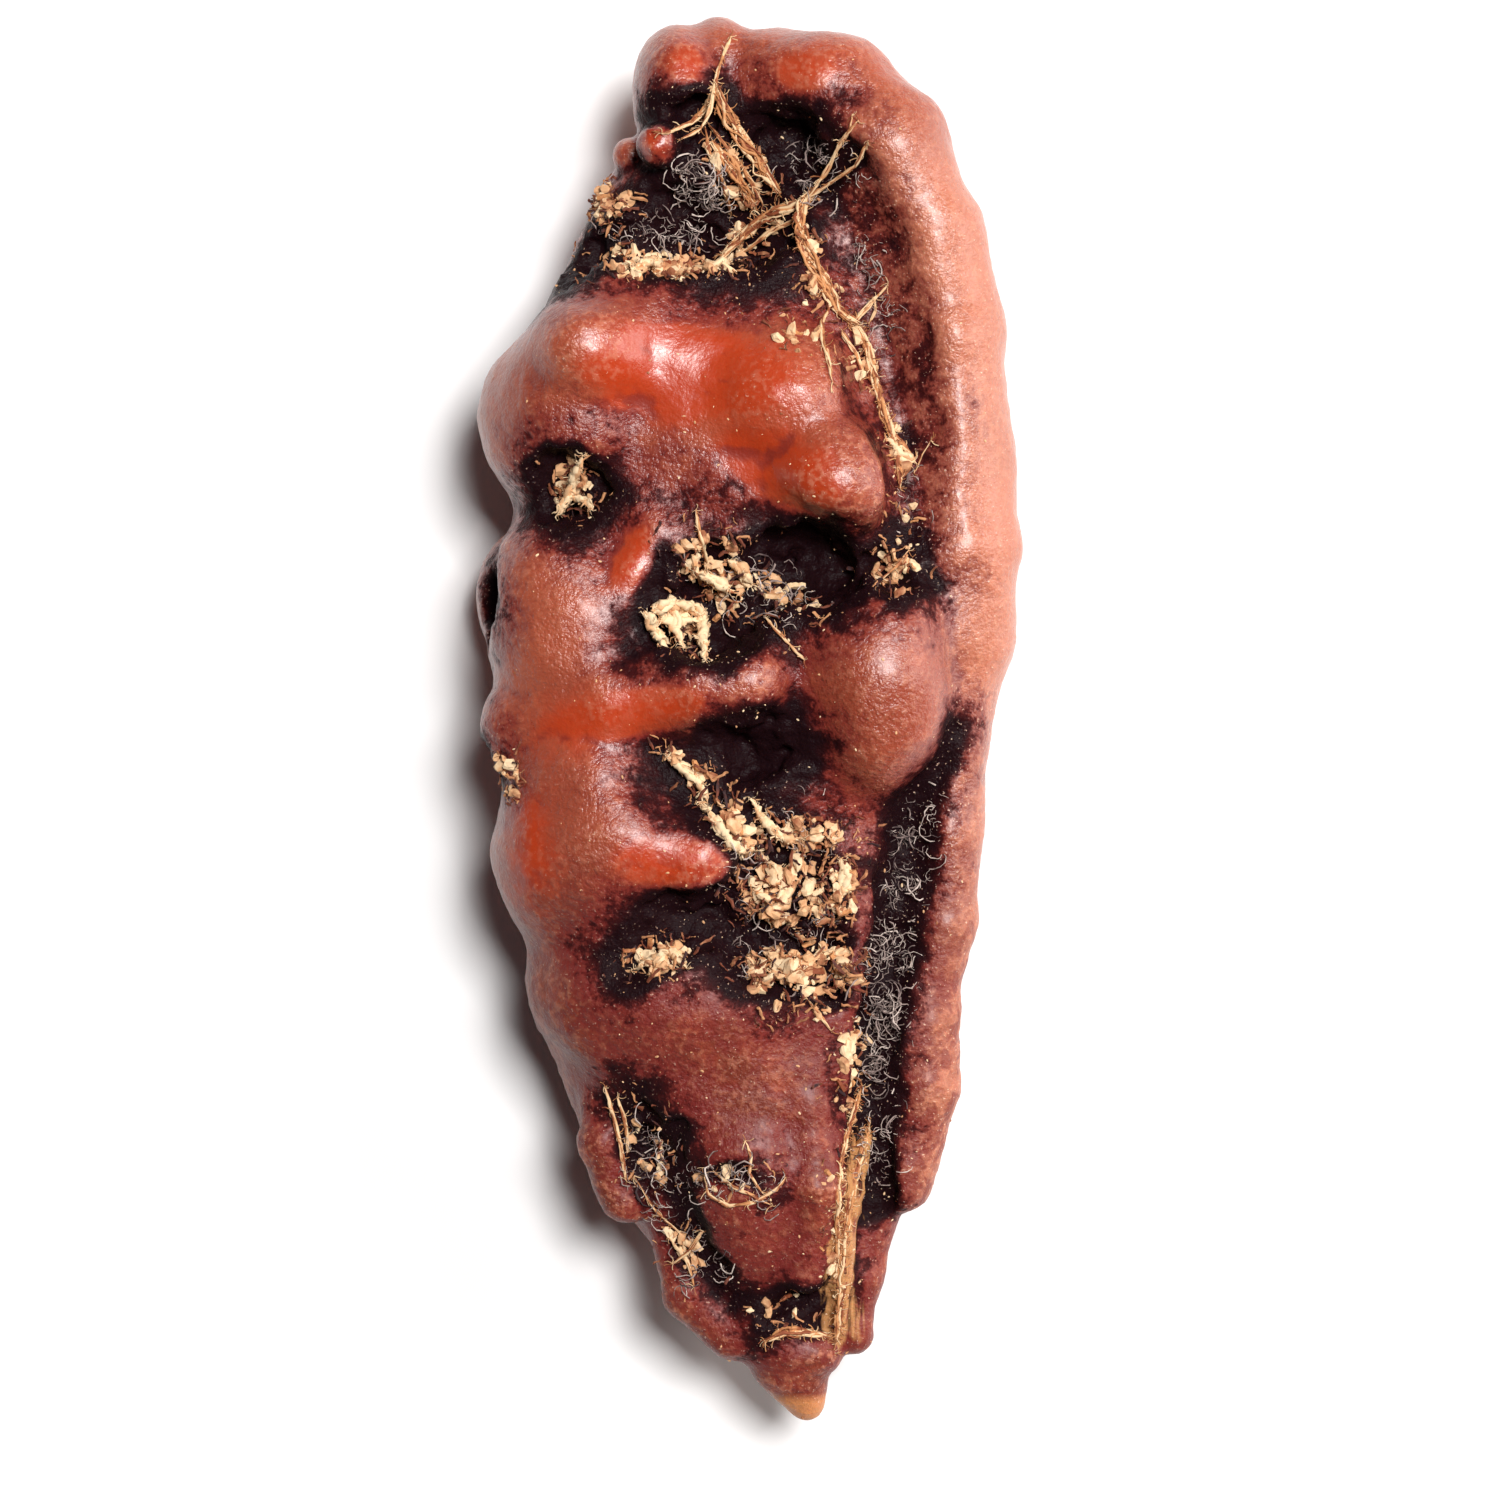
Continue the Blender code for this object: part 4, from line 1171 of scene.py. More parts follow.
# Wide strands of many fibres: those of the crown and the vein that runs down the tail.
RIBBONS = {
    "crown_ribbon": Strand(
        (
            (-1.5, 30.5, 0.16), (-1.1, 29.6, 0.39), (-0.4, 28.4, 0.47), (0.4, 27.2, 0.42),
            (1.1, 26.2, 0.39), (1.6, 25.5, 0.13),
        ),
        0.25,
    ),
    "crown_ribbon_low": Strand(
        ((-1.7, 27.9, 0.13), (-1.0, 26.9, 0.31), (-0.1, 25.6, 0.26), (0.4, 24.8, 0.1)),
        0.2,
    ),
    "main_high": Strand(
        (
            (3.1, 25.4, 0.16), (2.6, 24.5, 0.34), (2.6, 23.2, 0.42), (3.1, 21.8, 0.47), (3.8, 20.6, 0.44),
            (4.5, 19.4, 0.34), (5.5, 18.8, 0.21),
        ),
        0.2,
    ),
    "main_middle": Strand(
        (
            (5.3, 18.9, 0.13), (5.9, 17.8, 0.26), (6.2, 16.6, 0.31), (6.5, 15.2, 0.31), (6.9, 13.9, 0.26),
            (7.3, 12.6, 0.21),
        ),
    ),
    "main_end": Strand(((6.9, 14.0, 0.13), (7.3, 12.8, 0.26), (7.5, 11.4, 0.13), (7.5, 10.8, 0.05))),
    "bridge_web": Strand(
        ((2.9, 24.9, 0.16), (1.7, 24.6, 0.39), (0.6, 24.2, 0.31), (-0.4, 23.4, 0.18), (-1.3, 22.6, 0.1)),
    ),
    "tail_vein": Strand(
        (
            (6.1, -20.6, 0.06), (5.6, -22.2, 0.16), (5.0, -24.4, 0.24), (4.8, -26.8, 0.26),
            (4.7, -28.8, 0.24), (4.5, -30.6, 0.22), (4.3, -32.0, 0.08),
        ),
        -0.1,
    ),
    "tail_vein_edge": Strand(
        (
            (5.7, -18.8, 0.06), (5.0, -20.6, 0.14), (4.6, -22.6, 0.16), (4.4, -24.8, 0.18),
            (4.5, -27.4, 0.1),
        ),
        0.0,
    ),
    "tail_fan": Strand(
        ((4.2, -31.2, 0.1), (3.0, -31.0, 0.3), (1.8, -30.9, 0.26), (0.9, -31.4, 0.1)),
        0.1,
    ),
}


@dataclass(frozen=True)
class SplitStrands:
    """Strands of vein wood that have split into fibres.

    Attributes:
        name: The piece's name.
        strands: The strands.
        finish: What they are made of.
        fibres: Fibres that a strand is split into.
        thickest: Half width of the thickest fibre, in millimetres.
        fluff: Short hairs on a millimetre of each fibre.
        seed: Seed of everything random in them.
        step: Distance between points along a strand, in millimetres.
        relaxings: Times that a strand is pulled straighter between the places it rests on.
        sides: Sides of a fibre.
        ragged: How far a fibre's surface is torn, in millimetres.
        hair_length: Radius that a short hair is bent to, in millimetres.
        hair_width: Half width of a short hair, in millimetres.
        flatness: How far fibres wander each way, as a share of the strand's spread.
    """

    name: str
    strands: Mapping[str, Strand]
    finish: PlantFinish
    fibres: int
    thickest: float
    fluff: float
    seed: int
    step: float = 0.2
    relaxings: int = 60
    sides: int = 5
    ragged: float = 0.14
    hair_length: float = 0.6
    hair_width: float = 0.035
    flatness: Point = (1.0, 1.0, 0.4)

    def build(self, surface: PulpSurface) -> bpy.types.Object:
        """Lays the strands and splits them into fibres.

        Args:
            surface: Pulp to lie on.

        Returns:
            The strands as one mesh.
        """
        curve = bpy.data.curves.new(f"{self.name}_lines", "CURVE")
        curve.dimensions = "3D"
        for strand in self.strands.values():
            stations = self._lay(strand, surface)
            spline = curve.splines.new("POLY")
            spline.points.add(len(stations) - 1)
            for point, (x, y, z, width) in zip(spline.points, stations):
                point.co = (*surface.placement.point(x, y, z), 1.0)
                point.radius = width * surface.placement.scale
        values = {"Fibres": self.fibres, "Thickest": self.thickest * MM, "Step": self.step * MM}
        values |= {"Fluff Step": MM / self.fluff, "Seed": self.seed}
        return run_tree(self.name, curve, self._tree(), values)

    def _lay(self, strand: Strand, surface: PulpSurface) -> list[Station]:
        """Finds the strand's heights: taut where it crosses a hollow, and down on the pulp elsewhere.

        Args:
            strand: The strand.
            surface: Pulp to lie on.

        Returns:
            Closely spaced points with half widths.
        """
        flat: list[Point] = []
        for start, end in zip(strand.path, strand.path[1:]):
            count = max(1, round(math.dist(start[:2], end[:2]) / self.step))
            for part in range(count):
                share = part / count
                flat.append(tuple(a + (b - a) * share for a, b in zip(start, end)))
        flat.append(strand.path[-1])
        floor = [surface.height(x, y) + strand.lift for x, y, _ in flat]
        heights = list(floor)
        for _ in range(self.relaxings):
            for place in range(1, len(heights) - 1):
                middle = (heights[place - 1] + heights[place + 1]) / 2.0
                heights[place] = max(floor[place], middle)
        return [(x, y, z, width) for (x, y, width), z in zip(flat, heights)]

    def _fluff(self, tree: Tree, lines: Socket, step: Socket) -> Socket:
        """Adds short hairs that stand off the fibres.

        Args:
            tree: Tree that takes them.
            lines: The fibres' middle lines.
            step: Distance between hairs along a fibre.

        Returns:
            The hairs as instances.
        """
        points = add_node(tree, "GeometryNodeCurveToPoints", lines, named={"Length": step}, mode="LENGTH")
        turns = add_node(
            tree,
            RANDOM,
            (-0.9, -0.9, -math.pi),
            (0.9, 0.9, math.pi),
            named={"Seed": self.seed + 1},
            data_type="FLOAT_VECTOR",
        )
        sizes = {2: 0.25, 3: 0.85, "Seed": self.seed + 2}
        size = add_node(tree, RANDOM, named=sizes, out=1, data_type="FLOAT")
        bend = self.hair_length * MM
        arc = {"Resolution": 4, "Radius": bend, "Sweep Angle": 1.1}
        line = add_node(tree, "GeometryNodeCurveArc", named=arc)
        width = {"Radius": self.hair_width * MM}
        profile = add_node(tree, "GeometryNodeCurvePrimitiveCircle", 3, named=width)
        hair = add_node(tree, "GeometryNodeCurveToMesh", line, profile, named={"Fill Caps": True})
        hair = add_node(tree, "GeometryNodeTransform", hair, named={"Translation": (-bend, 0.0, 0.0)})
        hairs = {"Instance": hair, "Rotation": turns, "Scale": size}
        return add_node(tree, "GeometryNodeInstanceOnPoints", points, named=hairs)

    def _tree(self) -> Tree:
        """Splits each line into fibres that wander about it, and roughens them.

        Returns:
            A tree that takes the strands' lines.
        """
        takes = {"Geometry": "Geometry", "Fibres": "Int", "Thickest": "Float", "Step": "Float"}
        takes |= {"Fluff Step": "Float", "Seed": "Int"}
        tree = new_tree(f"{self.name}_split", takes, {"Geometry": "Geometry"})
        given = tree.nodes.new("NodeGroupInput").outputs
        fixed = {"Length": given["Step"]}
        lines = add_node(tree, "GeometryNodeResampleCurve", given["Geometry"], named=fixed, mode="LENGTH")
        fibres = given["Fibres"]
        copies = add_node(tree, "GeometryNodeDuplicateElements", lines, None, fibres, domain="SPLINE")
        number = copies.node.outputs["Duplicate Index"]
        place = add_node(tree, "GeometryNodeInputPosition")
        radius = add_node(tree, "GeometryNodeInputRadius")
        apart = add_node(tree, MATHS, number, 3.7, given["Seed"], operation="MULTIPLY_ADD")
        own = {"W": apart, "Scale": 0.45 / MM, "Detail": 2.0}
        wander = add_node(tree, NOISE, place, named=own, noise_dimensions="4D", out="Color")
        aside = add_node(tree, VECTORS, wander, MIDDLE_GREY, operation="SUBTRACT")
        aside = add_node(tree, VECTORS, aside, self.flatness, operation="MULTIPLY")
        spread = add_node(tree, MATHS, radius, 5.0, operation="MULTIPLY")
        aside = add_node(tree, VECTORS, aside, named={"Scale": spread}, operation="SCALE")
        moved = add_node(tree, "GeometryNodeSetPosition", copies, named={"Offset": aside})
        along = add_node(tree, "GeometryNodeSplineParameter", out="Factor")
        left = add_node(tree, MATHS, 1.0, along, operation="SUBTRACT")
        to_end = add_node(tree, MATHS, along, left, operation="MINIMUM")
        taper = add_node(tree, RANGE, to_end, 0.0, 0.1, 0.15, 1.0)
        own = {"W": apart, "Scale": 1.4 / MM, "Detail": 2.0}
        knots = add_node(tree, NOISE, place, named=own, noise_dimensions="4D")
        thick = add_node(tree, MATHS, radius, given["Thickest"], operation="MINIMUM")
        knots = add_node(tree, RANGE, knots, 0.35, 0.65, 0.3, 1.2)
        thick = add_node(tree, MATHS, knots, thick, operation="MULTIPLY")
        thick = add_node(tree, MATHS, thick, taper, operation="MULTIPLY")
        draw = {2: 0.0, 3: 1.0, "ID": number, "Seed": given["Seed"]}
        tint = add_node(tree, RANDOM, named=draw, out=1, data_type="FLOAT")
        tinted = add_node(tree, "GeometryNodeStoreNamedAttribute", moved, None, "tint", tint)
        profile = add_node(tree, "GeometryNodeCurvePrimitiveCircle", self.sides, named={"Radius": 1.0})
        shaped = {"Scale": thick, "Fill Caps": True}
        mesh = add_node(tree, "GeometryNodeCurveToMesh", tinted, profile, named=shaped)
        fluff = self._fluff(tree, tinted, given["Fluff Step"])
        whole = tree.nodes.new("GeometryNodeJoinGeometry")
        tree.links.new(fluff, whole.inputs[0])
        tree.links.new(mesh, whole.inputs[0])
        mesh = add_node(tree, "GeometryNodeRealizeInstances", whole.outputs[0])
        rough = add_node(tree, NOISE, place, named={"Scale": 3.4 / MM, "Detail": 3.0}, out="Color")
        rough = add_node(tree, VECTORS, rough, MIDDLE_GREY, operation="SUBTRACT")
        rough = add_node(tree, VECTORS, rough, named={"Scale": self.ragged * MM}, operation="SCALE")
        mesh = add_node(tree, "GeometryNodeSetPosition", mesh, named={"Offset": rough})
        mesh = add_node(tree, "GeometryNodeSetShadeSmooth", mesh)
        mesh = add_node(tree, "GeometryNodeSetMaterial", mesh, None, self.finish.material())
        add_node(tree, "NodeGroupOutput", mesh)
        return tree


# The larger lumps of torn pith, which are laid one by one.
LUMPS = {
    "claw_left": Strand(((-4.9, 4.6, 0.16), (-4.5, 3.8, 0.24), (-3.9, 3.0, 0.1)), 0.9),
    "claw_top": Strand(((-4.6, 4.7, 0.2), (-3.6, 5.0, 0.3), (-2.7, 4.9, 0.3), (-2.0, 4.4, 0.2)), 1.0),
    "claw_fill": Strand(((-4.3, 4.2, 0.2), (-3.4, 4.3, 0.3), (-2.5, 4.3, 0.2)), 0.9),
    "claw_middle": Strand(((-3.6, 4.8, 0.2), (-3.5, 3.8, 0.2), (-3.1, 2.9, 0.06)), 1.0),
    "claw_right": Strand(((-2.2, 4.6, 0.2), (-2.2, 3.4, 0.2), (-2.0, 2.3, 0.05)), 0.9),
    "middle_flake": Strand(((-2.4, 6.6, 0.1), (-1.6, 6.2, 0.26), (-0.8, 5.8, 0.1)), 1.0),
    "middle_chunk": Strand(((-0.9, 7.2, 0.1), (-0.3, 6.8, 0.22), (0.2, 6.1, 0.1)), 0.8),
    "left_pit_lump": Strand(
        ((-9.3, 9.6, 0.1), (-8.8, 10.4, 0.2), (-8.3, 11.6, 0.18), (-8.1, 12.2, 0.06)),
        0.9,
    ),
    "left_pit_arm": Strand(((-8.9, 10.6, 0.14), (-8.0, 10.2, 0.18), (-7.6, 9.7, 0.05)), 0.9),
    "rim_oval": Strand(((-2.2, 21.7, 0.1), (-1.5, 21.8, 0.3), (-0.8, 22.1, 0.1)), 0.4),
    "rim_flake": Strand(((-5.6, 21.4, 0.08), (-4.8, 21.9, 0.2), (-3.9, 22.1, 0.08)), 0.4),
    "trough_flake": Strand(
        ((-3.9, -2.4, 0.08), (-3.1, -3.0, 0.22), (-2.4, -3.6, 0.18), (-1.9, -4.6, 0.08)),
        0.4,
    ),
    "trough_bar": Strand(
        ((-2.2, -4.6, 0.08), (-1.2, -6.1, 0.2), (-0.4, -6.9, 0.18), (0.4, -7.0, 0.08)),
        0.4,
    ),
    "trough_bar_right": Strand(
        ((0.2, -4.5, 0.08), (0.9, -5.6, 0.2), (1.8, -6.5, 0.18), (2.6, -6.4, 0.08)),
        0.5,
    ),
    "crumb_lump": Strand(
        ((1.2, -7.6, 0.1), (2.0, -8.4, 0.24), (1.7, -9.6, 0.28), (1.0, -10.2, 0.1)),
        0.6,
    ),
    "crumb_flake": Strand(((4.6, -7.4, 0.1), (4.9, -8.4, 0.26), (4.6, -9.3, 0.1)), 0.4),
    "low_lump": Strand(
        ((1.0, -12.8, 0.1), (1.8, -13.2, 0.24), (2.7, -12.7, 0.24), (3.6, -12.0, 0.1)),
        0.7,
    ),
    "finger_lump": Strand(
        ((-5.6, -12.8, 0.06), (-4.7, -12.3, 0.18), (-3.8, -11.9, 0.2), (-3.0, -12.6, 0.06)),
        0.3,
    ),
    "twig_flake": Strand(((7.0, 13.2, 0.08), (7.6, 12.5, 0.3), (8.2, 12.2, 0.1)), 0.2),
}

SPLIT_STRANDS = (
    SplitStrands("woody_threads", THREADS, STRAW_FINISH, fibres=5, thickest=0.075, fluff=1.0, seed=4),
    SplitStrands("fibrous_ribbons", RIBBONS, STRAW_FINISH, fibres=14, thickest=0.085, fluff=2.2, seed=9),
    SplitStrands(
        "pith_lumps",
        LUMPS,
        PITH_FINISH,
        fibres=7,
        thickest=0.2,
        fluff=2.0,
        seed=14,
        step=0.12,
        sides=7,
        ragged=0.6,
    ),
)


@dataclass(frozen=True)
class Patch:
    """A place where loose bits lie.

    Attributes:
        centre: Its middle, across and along.
        radii: Half its size across and along.
        turn: Degrees about +Z.
        amount: Share of the full density.
        pile: How high the bits heap, in millimetres.
    """

    centre: Spot
    radii: Spot
    turn: float = 0.0
    amount: float = 1.0
    pile: float = 0.5


# Where crumbs of pith cling.
CRUMB_PATCHES = {
    "crown_rim": Patch((-3.6, 21.7), (3.3, 0.8), 6.0, 1.3, 0.3),
    "crown_rim_left": Patch((-6.4, 22.6), (2.2, 0.5), -10.0, 0.7, 0.3),
    "crown_clump": Patch((-6.8, 25.0), (1.1, 1.2), 20.0, 1.1, 0.5),
    "crown_middle": Patch((-0.6, 26.6), (1.5, 2.2), 30.0, 0.5, 0.4),
    "crown_web": Patch((0.6, 23.6), (2.2, 1.2), 30.0, 0.6, 0.4),
    "arch_scab": Patch((2.6, 18.6), (1.3, 1.8), 20.0, 0.35, 0.1),
    "strand_pith": Patch((3.3, 21.8), (0.8, 2.6), 14.0, 0.9, 0.5),
    "strand_pith_low": Patch((5.4, 17.2), (0.7, 1.7), 14.0, 0.7, 0.4),
    "strand_end": Patch((7.3, 13.0), (0.7, 1.7), 14.0, 0.6, 0.4),
    "left_pit": Patch((-8.5, 10.8), (1.0, 1.5), 20.0, 1.1, 0.8),
    "middle_pit": Patch((-1.3, 6.6), (2.4, 1.6), -30.0, 0.9, 0.8),
    "middle_pit_low": Patch((-2.8, 4.0), (1.4, 1.1), 20.0, 0.9, 0.7),
    "middle_pit_right": Patch((1.8, 5.4), (1.8, 1.0), -20.0, 0.5, 0.4),
    "small_pit": Patch((7.1, 6.7), (1.1, 1.2), 0.0, 0.9, 0.5),
    "groove_head": Patch((7.6, 9.0), (0.8, 1.8), 0.0, 0.4, 0.3),
    "left_edge": Patch((-11.7, -3.0), (0.6, 1.3), 10.0, 1.0, 0.3),
    "trough_head": Patch((-3.0, -3.0), (1.6, 0.8), -30.0, 1.4, 0.5),
    "trough": Patch((-0.8, -5.6), (2.2, 0.9), -48.0, 1.4, 0.6),
    "trough_right": Patch((3.0, -6.2), (2.4, 0.9), -4.0, 1.2, 0.5),
    "crumbs": Patch((1.9, -9.0), (2.1, 2.2), 0.0, 1.5, 0.8),
    "crumbs_right": Patch((4.7, -8.8), (0.9, 1.6), 0.0, 1.4, 0.5),
    "crumbs_low": Patch((2.6, -12.8), (2.6, 1.7), 8.0, 1.7, 0.8),
    "finger_crumbs": Patch((-4.4, -12.2), (1.8, 0.9), 10.0, 1.3, 0.4),
    "spike": Patch((3.6, -15.0), (0.6, 1.2), 20.0, 0.8, 0.3),
    "waist_right": Patch((5.2, -17.4), (0.8, 2.4), -6.0, 0.5, 0.3),
    "ear_pit": Patch((-4.9, -21.8), (1.3, 2.6), 16.0, 0.45, 0.4),
    "ear_trough": Patch((-3.0, -27.0), (1.1, 1.8), 24.0, 0.5, 0.4),
    "tail_pit": Patch((-0.4, -23.2), (1.9, 0.9), 0.0, 0.25, 0.3),
    "tip_pit": Patch((1.4, -29.8), (2.6, 0.8), 12.0, 0.25, 0.3),
    "vein_side": Patch((4.2, -25.4), (0.6, 5.0), 4.0, 0.2, 0.2),
    "vein_head": Patch((4.6, -19.0), (1.0, 1.6), 0.0, 0.5, 0.3),
}

# Where fine hair grows or has tangled.
HAIR_PATCHES = {
    "edge_groove_high": Patch((8.0, -7.4), (1.4, 4.0), -16.0, 1.0, 0.4),
    "edge_groove_middle": Patch((6.9, -13.4), (1.5, 4.4), -8.0, 1.2, 0.4),
    "edge_groove_low": Patch((6.4, -20.6), (1.3, 3.6), 0.0, 1.0, 0.3),
    "tangle_high": Patch((6.6, -14.6), (0.8, 1.0), 0.0, 2.6, 0.5),
    "tangle_low": Patch((6.4, -17.8), (0.8, 1.0), 0.0, 2.2, 0.5),
    "crown_hair": Patch((-2.0, 25.6), (1.1, 2.2), 32.0, 1.6, 0.5),
    "crown_pit": Patch((-4.6, 23.8), (3.2, 1.5), 0.0, 0.5, 0.3),
    "hood": Patch((3.6, 26.4), (2.6, 1.6), -30.0, 0.7, 0.3),
    "hood_groove": Patch((6.3, 20.4), (1.2, 3.6), 12.0, 0.6, 0.3),
    "groove_foot": Patch((7.8, 10.4), (1.0, 1.8), 0.0, 0.7, 0.3),
    "middle": Patch((0.4, 6.0), (3.6, 2.0), -20.0, 0.4, 0.4),
    "trough": Patch((1.4, -6.6), (3.6, 3.0), 0.0, 0.35, 0.3),
    "crumbs": Patch((2.0, -11.0), (3.2, 3.2), 0.0, 0.4, 0.4),
    "ear": Patch((-4.6, -22.8), (1.8, 3.4), 16.0, 0.8, 0.5),
    "tail": Patch((-0.4, -23.2), (2.6, 1.4), 0.0, 0.8, 0.4),
    "trough_low": Patch((-2.6, -27.4), (1.6, 2.4), 24.0, 0.6, 0.4),
}


# Seeds of what is random in every kind of loose bit, whatever its own seed.
HEAP_SEED = 11
TINT_SEED = 23
TURN_SEED = 37
SIZE_SEED = 41


class BitShape(Enum):
    """What a loose bit is."""

    CHIP = "chip"
    SPLINTER = "splinter"
    SHRED = "shred"
    HAIR = "hair"
    GRAIN = "grain"


@dataclass(frozen=True)
class LooseBits:
    """One kind of loose bit, strewn over its patches.

    Attributes:
        name: The piece's name.
        shape: What the bits are.
        patches: Where they lie.
        finish: What they are made of.
        density: Bits on a square millimetre of a full patch.
        least: Length of the shortest bit, in millimetres.
        most: Length of the longest.
        tilt: Most that a bit leans out of the level, in degrees.
        ragged: How far its surface is torn, in millimetres.
        spill: How far past their patches the bits lie, as a share of the patches' size.
        seed: Seed of the places where they lie.
    """

    name: str
    shape: BitShape
    patches: Mapping[str, Patch]
    finish: PlantFinish
    density: float
    least: float
    most: float
    tilt: float
    ragged: float
    spill: float
    seed: int

    def build(self, pulp: bpy.types.Object, placement: Placement) -> bpy.types.Object:
        """Strews the bits over the pulp.

        Args:
            pulp: The finished pulp.
            placement: How the tables lie in the frame.

        Returns:
            The bits as one mesh.
        """
        values = {"Density": self.density / MM**2, "Least": self.least * MM, "Most": self.most * MM}
        values |= {"Ragged": self.ragged * MM, "Seed": self.seed}
        return run_tree(self.name, pulp.data.copy(), self._tree(placement), values)

    def _bit(self, tree: Tree) -> Socket:
        """Adds the bit's plain shape, about one unit long.

        Args:
            tree: Tree that takes it.

        Returns:
            The shape's mesh.
        """
        if self.shape in (BitShape.CHIP, BitShape.GRAIN):
            rounds = 2 if self.shape is BitShape.CHIP else 1
            ball = add_node(tree, "GeometryNodeMeshIcoSphere", 0.5, rounds)
            return add_node(tree, "GeometryNodeTransform", ball, named={"Scale": (1.0, 0.55, 0.42)})
        if self.shape in (BitShape.SPLINTER, BitShape.SHRED):
            wide = 0.13 if self.shape is BitShape.SPLINTER else 0.05
            rod = add_node(tree, "GeometryNodeMeshCylinder", 5, 5, 1, wide, 1.0)
            turned = {"Rotation": (0.0, math.pi / 2.0, 0.0), "Scale": (1.0, 1.0, 0.6)}
            return add_node(tree, "GeometryNodeTransform", rod, named=turned)
        arc = {"Resolution": 8, "Radius": 0.42, "Sweep Angle": 2.4}
        line = add_node(tree, "GeometryNodeCurveArc", named=arc)
        profile = add_node(tree, "GeometryNodeCurvePrimitiveCircle", 3, named={"Radius": 0.022})
        return add_node(tree, "GeometryNodeCurveToMesh", line, profile, named={"Fill Caps": True})

    def _shares(self, tree: Tree, place: Socket) -> tuple[Socket, Socket]:
        """Adds the patches' shares of the full density and of the heaps.

        Args:
            tree: Tree that takes them.
            place: The place, in the tables' millimetres.

        Returns:
            The share of the full density there, and how high bits heap, in millimetres.
        """
        total: Term = 0.0
        heap: Term = 0.0
        for patch in self.patches.values():
            local = add_node(tree, VECTORS, place, (*patch.centre, 0.0), operation="SUBTRACT")
            back = {"Angle": -math.radians(patch.turn)}
            turned = add_node(tree, "ShaderNodeVectorRotate", local, named=back, rotation_type="Z_AXIS")
            steps = add_node(tree, VECTORS, turned, (*patch.radii, 1.0e6), operation="DIVIDE")
            reach = add_node(tree, VECTORS, steps, operation="LENGTH", out="Value")
            share = smooth_share(tree, reach, 1.15 * self.spill, 0.35 * self.spill, patch.amount)
            total = add_node(tree, MATHS, total, share, operation="MAXIMUM")
            high = add_node(tree, MATHS, share, patch.pile, operation="MULTIPLY")
            heap = add_node(tree, MATHS, heap, high, operation="MAXIMUM")
        return total, heap

    def _tree(self, placement: Placement) -> Tree:
        """Strews the bits over the pulp.

        Args:
            placement: How the tables lie in the frame.

        Returns:
            A tree that takes the pulp's mesh and gives the bits.
        """
        takes = {"Geometry": "Geometry", "Density": "Float", "Least": "Float", "Most": "Float"}
        takes |= {"Ragged": "Float", "Seed": "Int"}
        tree = new_tree(f"{self.name}_strewn", takes, {"Geometry": "Geometry"})
        given = tree.nodes.new("NodeGroupInput").outputs
        place = add_node(tree, "GeometryNodeInputPosition")
        unshifted = add_node(tree, VECTORS, place, tuple(placement.shift), operation="SUBTRACT")
        own = add_node(tree, VECTORS, unshifted, named={"Scale": 1.0 / placement.scale}, operation="SCALE")
        total, heap = self._shares(tree, own)
        clumps = add_node(tree, NOISE, own, named={"Scale": 0.75, "Detail": 2.0})
        total = add_node(tree, MATHS, total, smooth_share(tree, clumps, 0.36, 0.6), operation="MULTIPLY")
        normal = add_node(tree, "GeometryNodeInputNormal")
        upness = add_node(tree, "ShaderNodeSeparateXYZ", normal, out="Z")
        total = add_node(tree, MATHS, total, smooth_share(tree, upness, -0.2, 0.3), operation="MULTIPLY")
        density = add_node(tree, MATHS, total, given["Density"], operation="MULTIPLY")
        strewn = {"Density": density, "Seed": given["Seed"]}
        points = add_node(tree, "GeometryNodeDistributePointsOnFaces", given["Geometry"], named=strewn)
        level, tint, draw = (
            add_node(tree, RANDOM, named={2: 0.0, 3: 1.0, "Seed": seed}, out=1, data_type="FLOAT")
            for seed in (HEAP_SEED, TINT_SEED, SIZE_SEED)
        )
        lift = add_node(tree, MATHS, heap, level, operation="MULTIPLY")
        lift = add_node(tree, MATHS, lift, MM, operation="MULTIPLY")
        raised = add_node(tree, "ShaderNodeCombineXYZ", named={"Z": lift})
        points = add_node(tree, "GeometryNodeSetPosition", points, named={"Offset": raised})
        points = add_node(tree, "GeometryNodeStoreNamedAttribute", points, None, "tint", tint)
        lean = math.radians(self.tilt)
        turns = add_node(
            tree,
            RANDOM,
            (-lean, -lean, -math.pi),
            (lean, lean, math.pi),
            named={"Seed": TURN_SEED},
            data_type="FLOAT_VECTOR",
        )
        small_more_often = add_node(tree, MATHS, draw, 2.0, operation="POWER")
        span = {3: given["Least"], 4: given["Most"]}
        size = add_node(tree, RANGE, small_more_often, named=span)
        laid = {"Instance": self._bit(tree), "Rotation": turns, "Scale": size}
        bits = add_node(tree, "GeometryNodeInstanceOnPoints", points, named=laid)
        bits = add_node(tree, "GeometryNodeRealizeInstances", bits)
        for scale, share in ((1.8, 1.0), (5.0, 0.5)):
            torn = add_node(tree, NOISE, place, named={"Scale": scale / MM, "Detail": 1.0}, out="Color")
            torn = add_node(tree, VECTORS, torn, MIDDLE_GREY, operation="SUBTRACT")
            reach = add_node(tree, MATHS, given["Ragged"], 3.0 * share, operation="MULTIPLY")
            torn = add_node(tree, VECTORS, torn, named={"Scale": reach}, operation="SCALE")
            bits = add_node(tree, "GeometryNodeSetPosition", bits, named={"Offset": torn})
        bits = add_node(tree, "GeometryNodeSetMaterial", bits, None, self.finish.material())
        add_node(tree, "NodeGroupOutput", bits)
        return tree


